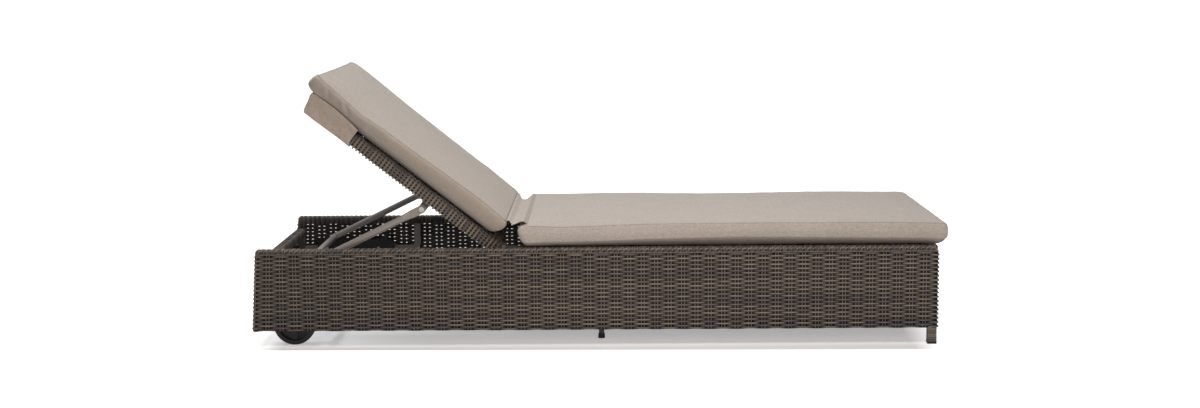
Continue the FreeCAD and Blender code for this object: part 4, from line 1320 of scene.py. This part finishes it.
def makeFloor():
    # a white floor that glows, with a painted shadow: less glow under the lounger and a little less again along its
    # front
    bpy.ops.mesh.primitive_plane_add(size=floor["size"], location=(0, 0, 0))
    piece = bpy.context.object
    piece.name = "floor"
    look = Look("studio_floor", roughness=0.9, specular=0.0)
    look.shader.inputs["Base Color"].default_value = (floor["colour"],) * 3 + (1.0,)
    rays = look.make("ShaderNodeLightPath")
    camera, glossy, through = (Num(look, rays.outputs["Is %s Ray" % kind])
                               for kind in ("Camera", "Glossy", "Transmission"))
    seen = camera + glossy + through
    apart = look.place(floor["stretch"], floor["turn"])
    for operation, second in (("ABSOLUTE", (0, 0, 0)), ("SUBTRACT", floor["under"]), ("MAXIMUM", (0, 0, 0))):
        apart = look.make("ShaderNodeVectorMath", {"operation": operation}, {0: apart, 1: second}).outputs[0]
    away = look.number("ShaderNodeVectorMath", {"operation": "LENGTH"}, {0: apart}, "Value")
    # painted shadow: the glow is lowest under the lounger and rises to full outside it
    far = look.spread(away, *floor["fade"], floor["glow"], floor["farGlow"])
    y = look.number("ShaderNodeSeparateXYZ", {}, {0: look.place()}, "Y")
    # painted shadow along the front of the lounger
    front = look.spread(y, *floor["front"], 1.0, 0.0) * look.spread(away, *floor["fade"], floor["frontShade"], 0.0)
    glow = look.make("ShaderNodeEmission", {}, {"Strength": seen * (far - front)})
    both = look.make("ShaderNodeAddShader", {}, {0: look.shader.outputs[0], 1: glow.outputs[0]})
    look.tree.links.new(both.outputs[0], look.output.inputs["Surface"])
    piece.data.materials.append(look.material)


studio = {
    "ambient": 0.20,
    "lamps": [
        ("top_box", (-0.93, 1.1, 4.5), (-0.05, 0.0, 0.2), 3.4, 2.2, 112, (0.945, 0.975, 1.0)),
        ("key_box", (0.28, -1.6, 2.4), (0.28, 0, 0.25), 1.2, 0.7, 21, (1.0, 0.94, 0.88)),
        ("front_box", (0.28, -2.1, 0.9), (0.28, 0, 0.25), 1.0, 0.6, 8.0, (1.0, 0.86, 0.72)),
    ],
}


def makeWorld():
    # white for the camera and in reflections, and a weaker light for everything else
    world = bpy.data.worlds.new("studio")
    bpy.context.scene.world = world
    world.use_nodes = True
    tree = world.node_tree
    background = tree.nodes["Background"]
    rays = tree.nodes.new("ShaderNodeLightPath")
    strength = tree.nodes.new("ShaderNodeMapRange")
    seen = rays.outputs["Is Camera Ray"]
    for other in ("Is Glossy Ray", "Is Transmission Ray"):
        either = tree.nodes.new("ShaderNodeMath")
        either.operation = "MAXIMUM"
        tree.links.new(seen, either.inputs[0])
        tree.links.new(rays.outputs[other], either.inputs[1])
        seen = either.outputs[0]
    tree.links.new(seen, strength.inputs["Value"])
    strength.inputs["To Min"].default_value = studio["ambient"]
    strength.inputs["To Max"].default_value = 1.0
    tree.links.new(strength.outputs[0], background.inputs["Strength"])
    background.inputs["Color"].default_value = (1, 1, 1, 1)


def makeLamps():
    for name, place, target, width, height, power, colour in studio["lamps"]:
        data = bpy.data.lights.new(name, "AREA")
        data.shape = "RECTANGLE"
        data.size, data.size_y = width, height
        data.energy = power
        data.color = colour
        lamp = bpy.data.objects.new(name, data)
        bpy.context.scene.collection.objects.link(lamp)
        lamp.visible_camera = False
        lamp.location = place
        lamp.rotation_euler = (Vector(target) - Vector(place)).to_track_quat("-Z", "Y").to_euler()


camera = {"place": (0.04345, -5.18719, 1.08781), "down": 0.137154, "aside": -0.008142, "roll": -0.007815,
          "lens": 50.41, "sensor": 36.0, "clip": 200}


def makeCamera():
    s = camera
    data = bpy.data.cameras.new("camera")
    data.lens, data.sensor_width, data.clip_end = s["lens"], s["sensor"], s["clip"]
    piece = bpy.data.objects.new("camera", data)
    bpy.context.scene.collection.objects.link(piece)
    bpy.context.scene.camera = piece
    ahead = Vector((math.sin(s["aside"]) * math.cos(s["down"]), math.cos(s["aside"]) * math.cos(s["down"]),
                    -math.sin(s["down"])))
    right = Vector((math.cos(s["aside"]), -math.sin(s["aside"]), 0))
    up = right.cross(ahead)
    rolledRight = right * math.cos(s["roll"]) + up * math.sin(s["roll"])
    rolledUp = up * math.cos(s["roll"]) - right * math.sin(s["roll"])
    turn = Matrix((rolledRight, rolledUp, -ahead)).transposed().to_4x4()
    piece.matrix_world = Matrix.Translation(Vector(s["place"])) @ turn


makeFloor()
makeWorld()
makeLamps()
makeCamera()
bpy.context.scene.view_settings.view_transform = "Standard"
print("studio ready")
